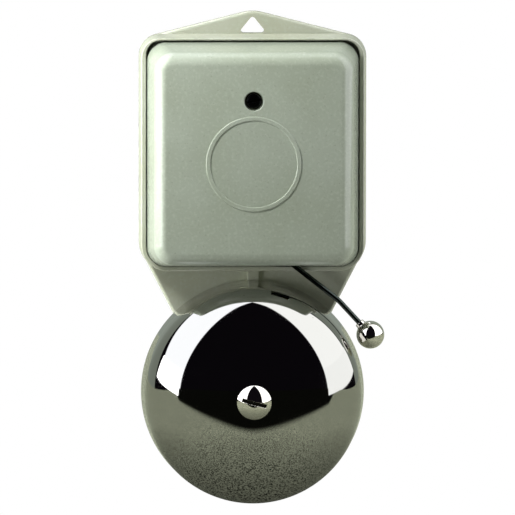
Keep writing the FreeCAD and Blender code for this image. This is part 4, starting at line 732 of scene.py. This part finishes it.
def makeWorld():
    world = bpy.data.worlds.new("studio")
    world.use_nodes = True
    scene.world = world
    tree = world.node_tree
    tree.nodes.clear()
    way = addNode(tree, "ShaderNodeTexCoord").outputs["Generated"]
    beyond = {}
    for name, (facing, start) in studio["planes"].items():
        side = addNode(tree, "ShaderNodeVectorMath", {0: way, 1: facing}, operation="DOT_PRODUCT")
        soft = addNode(tree, "ShaderNodeMapRange",
                       {0: side.outputs["Value"], 1: start - studio["soft"], 2: start + studio["soft"]},
                       interpolation_type="SMOOTHSTEP")
        beyond[name] = soft.outputs[0]
    glossy = studio["room"]
    for light, parts in studio["lights"].values():
        filled = []
        for names in parts:
            part = beyond[names[0]]
            for name in names[1:]:
                part = addNode(tree, "ShaderNodeMath", {0: part, 1: beyond[name]},
                               operation="MULTIPLY").outputs[0]
            filled.append(part)
        either = addNode(tree, "ShaderNodeMath", {0: filled[0], 1: filled[1]}, operation="MAXIMUM")
        glossy = addNode(tree, "ShaderNodeMix", {0: either.outputs[0], 6: glossy, 7: light},
                         data_type="RGBA").outputs[2]
    high = addNode(tree, "ShaderNodeSeparateXYZ", {0: way}).outputs[2]
    rise = addNode(tree, "ShaderNodeMapRange", {0: high, 1: studio["rise"][0], 2: studio["rise"][1]})
    ambient = addNode(tree, "ShaderNodeMix", {0: rise.outputs[0], 6: studio["below"], 7: studio["above"]},
                      data_type="RGBA")
    rays = addNode(tree, "ShaderNodeLightPath")
    lit = addNode(tree, "ShaderNodeMix", {0: rays.outputs["Is Glossy Ray"], 6: ambient.outputs[2], 7: glossy},
                  data_type="RGBA")
    seen = addNode(tree, "ShaderNodeMix", {0: rays.outputs["Is Camera Ray"], 6: lit.outputs[2],
                                           7: (1, 1, 1, 1)}, data_type="RGBA")
    sky = addNode(tree, "ShaderNodeBackground", {"Color": seen.outputs[2], "Strength": 1.0})
    addNode(tree, "ShaderNodeOutputWorld", {"Surface": sky.outputs[0]})


# soft lamps: place and aim in metres, width and height, watts
lamps = {
    "nearUpperLeft": ((-0.145, -0.16, 0.155), (0.0, -0.031, 0.0), (0.08, 0.08), 0.7),
    "lowFill": ((-0.35, -0.6, -0.08), (0.0, -0.005, -0.045), (0.2, 0.2), 1.15),
    "sideLeft": ((-0.5, -0.015, 0.02), (0.0, -0.015, 0.02), (0.08, 0.5), 5.6),
    "sideRight": ((0.55, -0.02, 0.02), (0.0, -0.02, 0.02), (0.08, 0.5), 2.3),
    "overhead": ((0.0, -0.03, 0.6), (0.0, -0.02, 0.0), (0.5, 0.1), 2.4),
    "behind": ((0.25, 0.8, 0.35), (0.0, 0.0, -0.04), (0.5, 0.5), 5.0),
}


def softLamp(name, place, aim, size, power):
    data = bpy.data.lights.new(name, "AREA")
    data.shape = "RECTANGLE"
    data.size, data.size_y = size
    data.energy = power
    lamp = bpy.data.objects.new(name, data)
    scene.collection.objects.link(lamp)
    lamp.location = place
    lamp.rotation_euler = (Vector(aim) - Vector(place)).to_track_quat("-Z", "Y").to_euler()
    lamp.visible_camera = False
    lamp.visible_glossy = False


makeWorld()
for name, setup in lamps.items():
    softLamp(name, *setup)


def flatPiece(name, corners):
    bm = bmesh.new()
    bm.faces.new([bm.verts.new(corner) for corner in corners])
    return newPiece(name, bm)


def reflectedOnly(piece, material, colour, strength):
    # a stage piece that glows by itself, lights nothing, and shows in reflections alone
    tree = material.node_tree
    tree.nodes.remove(tree.nodes["Principled BSDF"])
    glow = addNode(tree, "ShaderNodeEmission", {"Color": colour, "Strength": strength})
    tree.links.new(glow.outputs[0], tree.nodes["Material Output"].inputs["Surface"])
    piece.data.materials.append(material)
    piece.visible_camera = False
    piece.visible_diffuse = False
    piece.visible_shadow = False


# The surface that the bell is photographed over: speckled laminate, seen only in the metal's
# reflections. It glows with painted light, on its far part alone, behind a line that bends round the
# bell. Lengths are in millimetres, and each pair of slopes or shades belongs to the pair of places named
# before it.
table = {"z": -129.0, "side": 3000.0, "front": -2700.0, "back": 2000.0,
         "dark": "#23261e", "light": "#dfe6cb", "gritMm": 0.95, "gritFrom": (0.41, 0.55),
         "lineY": -121.0, "bendMm": 10.0, "slopesAt": (-1.0, 1.0), "slopes": (0.806, 0.64), "fadeMm": 14.0,
         "unlit": 0.012, "paintedShadowAt": (10.0, 120.0), "paintedShadow": (0.15, 0.9)}


def makeTable():
    t = table
    corners = [(-t["side"], t["front"]), (t["side"], t["front"]), (t["side"], t["back"]),
               (-t["side"], t["back"])]
    top = flatPiece("table_reflected", [(x * mm, y * mm, t["z"] * mm) for x, y in corners])
    material, tree, _, place = startFinish("laminateSpeckledPaintedLight", t["light"], 0.0, 0.5)
    grit = addNode(tree, "ShaderNodeTexNoise", {"Vector": place, "Scale": 1 / t["gritMm"], "Detail": 3.0,
                                                "Roughness": 0.7})
    low, high = t["gritFrom"]
    tone = addNode(tree, "ShaderNodeMapRange", {0: grit.outputs[0], 1: low, 2: high})
    colour = addNode(tree, "ShaderNodeMix", {0: tone.outputs[0], 6: linear(t["dark"]), 7: linear(t["light"])},
                     data_type="RGBA")
    # the painted light's edge: its slope differs left and right, and it is rounded off in the middle
    split = addNode(tree, "ShaderNodeSeparateXYZ", {0: place})
    (low, high), (least, most) = t["slopesAt"], t["slopes"]
    slope = addNode(tree, "ShaderNodeMapRange", {0: split.outputs[0], 1: low, 2: high, 3: least, 4: most})
    out = addNode(tree, "ShaderNodeMath", {0: split.outputs[0], 1: slope.outputs[0]}, operation="MULTIPLY")
    both = addNode(tree, "ShaderNodeCombineXYZ", {0: out.outputs[0], 1: t["bendMm"]})
    reach = addNode(tree, "ShaderNodeVectorMath", {0: both.outputs[0]}, operation="LENGTH")
    depth = addNode(tree, "ShaderNodeMath", {0: split.outputs[1], 1: reach.outputs["Value"]}, operation="ADD")
    start = t["lineY"] + t["bendMm"]
    # painted light: the laminate glows brighter beyond the line, and only faintly before it
    lit = addNode(tree, "ShaderNodeMapRange", {0: depth.outputs[0], 1: start - t["fadeMm"],
                                               2: start + t["fadeMm"], 3: t["unlit"]},
                  interpolation_type="SMOOTHSTEP")
    # a painted shadow of the bell darkens what lies right under it
    apart = addNode(tree, "ShaderNodeVectorMath", {0: place, 1: (0.0, 0.0, t["z"])}, operation="DISTANCE")
    (low, high), (least, most) = t["paintedShadowAt"], t["paintedShadow"]
    paintedShadow = addNode(tree, "ShaderNodeMapRange", {0: apart.outputs["Value"], 1: low, 2: high, 3: least,
                                                  4: most})
    # the glow's strength is the painted light times the painted shadow
    strength = addNode(tree, "ShaderNodeMath", {0: paintedShadow.outputs[0], 1: lit.outputs[0]},
                       operation="MULTIPLY")
    reflectedOnly(top, material, colour.outputs[2], strength.outputs[0])


makeTable()

# The lowest part of each soft box, as an upright cloth at its own distance, so the case sees it lower
# than the gong does: the lower corners of its inner and outer ends (x, y, z), in millimetres
feet = {"left": {"inner": (-394, -453, -127), "outer": (-593, 94, -12), "light": (4.6, 4.62, 4.75, 1.0)},
        "right": {"inner": (394, -453, -127), "outer": (530, 282, -15), "light": (1.9, 1.93, 1.96, 1.0)}}
footTall = 150.0


def makeFoot(side):
    foot, up = feet[side], Vector((0, 0, footTall))
    inner, outer = Vector(foot["inner"]), Vector(foot["outer"])
    corners = [inner, outer, outer + up, inner + up]
    cloth = flatPiece("soft_box_foot_" + side, [corner * mm for corner in corners])
    material = startFinish("clothDiffusing" + side.title(), "#ffffff", 0.0, 0.9)[0]
    reflectedOnly(cloth, material, foot["light"], 1.0)


for side in feet:
    makeFoot(side)

floor = {"z": -0.9, "reach": 4.0, "sides": 96, "colour": "#f4f4f2", "roughness": 0.8}


def makeFloor():
    # pale paper, pure white to the camera and clear from below
    bm = bmesh.new()
    bmesh.ops.create_circle(bm, cap_ends=True, segments=floor["sides"], radius=floor["reach"])
    bmesh.ops.translate(bm, verts=bm.verts, vec=(0, 0, floor["z"]))
    ground = newPiece("floor_pale", bm)
    material, tree, shader, _ = startFinish("paperPale", floor["colour"], 0.0, floor["roughness"])
    lit = addNode(tree, "ShaderNodeEmission", {"Color": (1, 1, 1, 1), "Strength": 1.0})
    clear = addNode(tree, "ShaderNodeBsdfTransparent")
    rays = addNode(tree, "ShaderNodeLightPath")
    under = addNode(tree, "ShaderNodeNewGeometry")
    paper = addNode(tree, "ShaderNodeMixShader", {0: rays.outputs["Is Camera Ray"], 1: shader.outputs[0],
                                                  2: lit.outputs[0]})
    whole = addNode(tree, "ShaderNodeMixShader", {0: under.outputs["Backfacing"], 1: paper.outputs[0],
                                                  2: clear.outputs[0]})
    tree.links.new(whole.outputs[0], tree.nodes["Material Output"].inputs["Surface"])
    ground.data.materials.append(material)
    ground.visible_glossy = False


makeFloor()

# angles in degrees, the aim in millimetres, the focal length in picture pixels, the rest in metres
view = {"elevation": 6.2, "azimuth": -1.159, "roll": 0.056, "aim": (1.57, -18.0, -36.2), "distance": 3.0,
        "clip": (0.05, 30.0), "focal": 8404.0, "pixels": 515.0, "sensor": 36.0}


def makeCamera():
    v = view
    data = bpy.data.cameras.new("camera")
    camera = bpy.data.objects.new("camera", data)
    scene.collection.objects.link(camera)
    data.sensor_width = v["sensor"]
    data.lens = v["focal"] / v["pixels"] * v["sensor"]
    data.clip_start, data.clip_end = v["clip"]
    rise, turn = math.radians(v["elevation"]), math.radians(v["azimuth"])
    back = Vector((math.sin(turn) * math.cos(rise), -math.cos(turn) * math.cos(rise), math.sin(rise)))
    camera.location = Vector(v["aim"]) * mm + back * v["distance"]
    facing = (-back).to_track_quat("-Z", "Y").to_matrix().to_4x4()
    camera.rotation_euler = (facing @ Matrix.Rotation(math.radians(v["roll"]), 4, "Z")).to_euler()
    scene.camera = camera


makeCamera()
scene.view_settings.view_transform = "Standard"
print("stage, light and camera made")
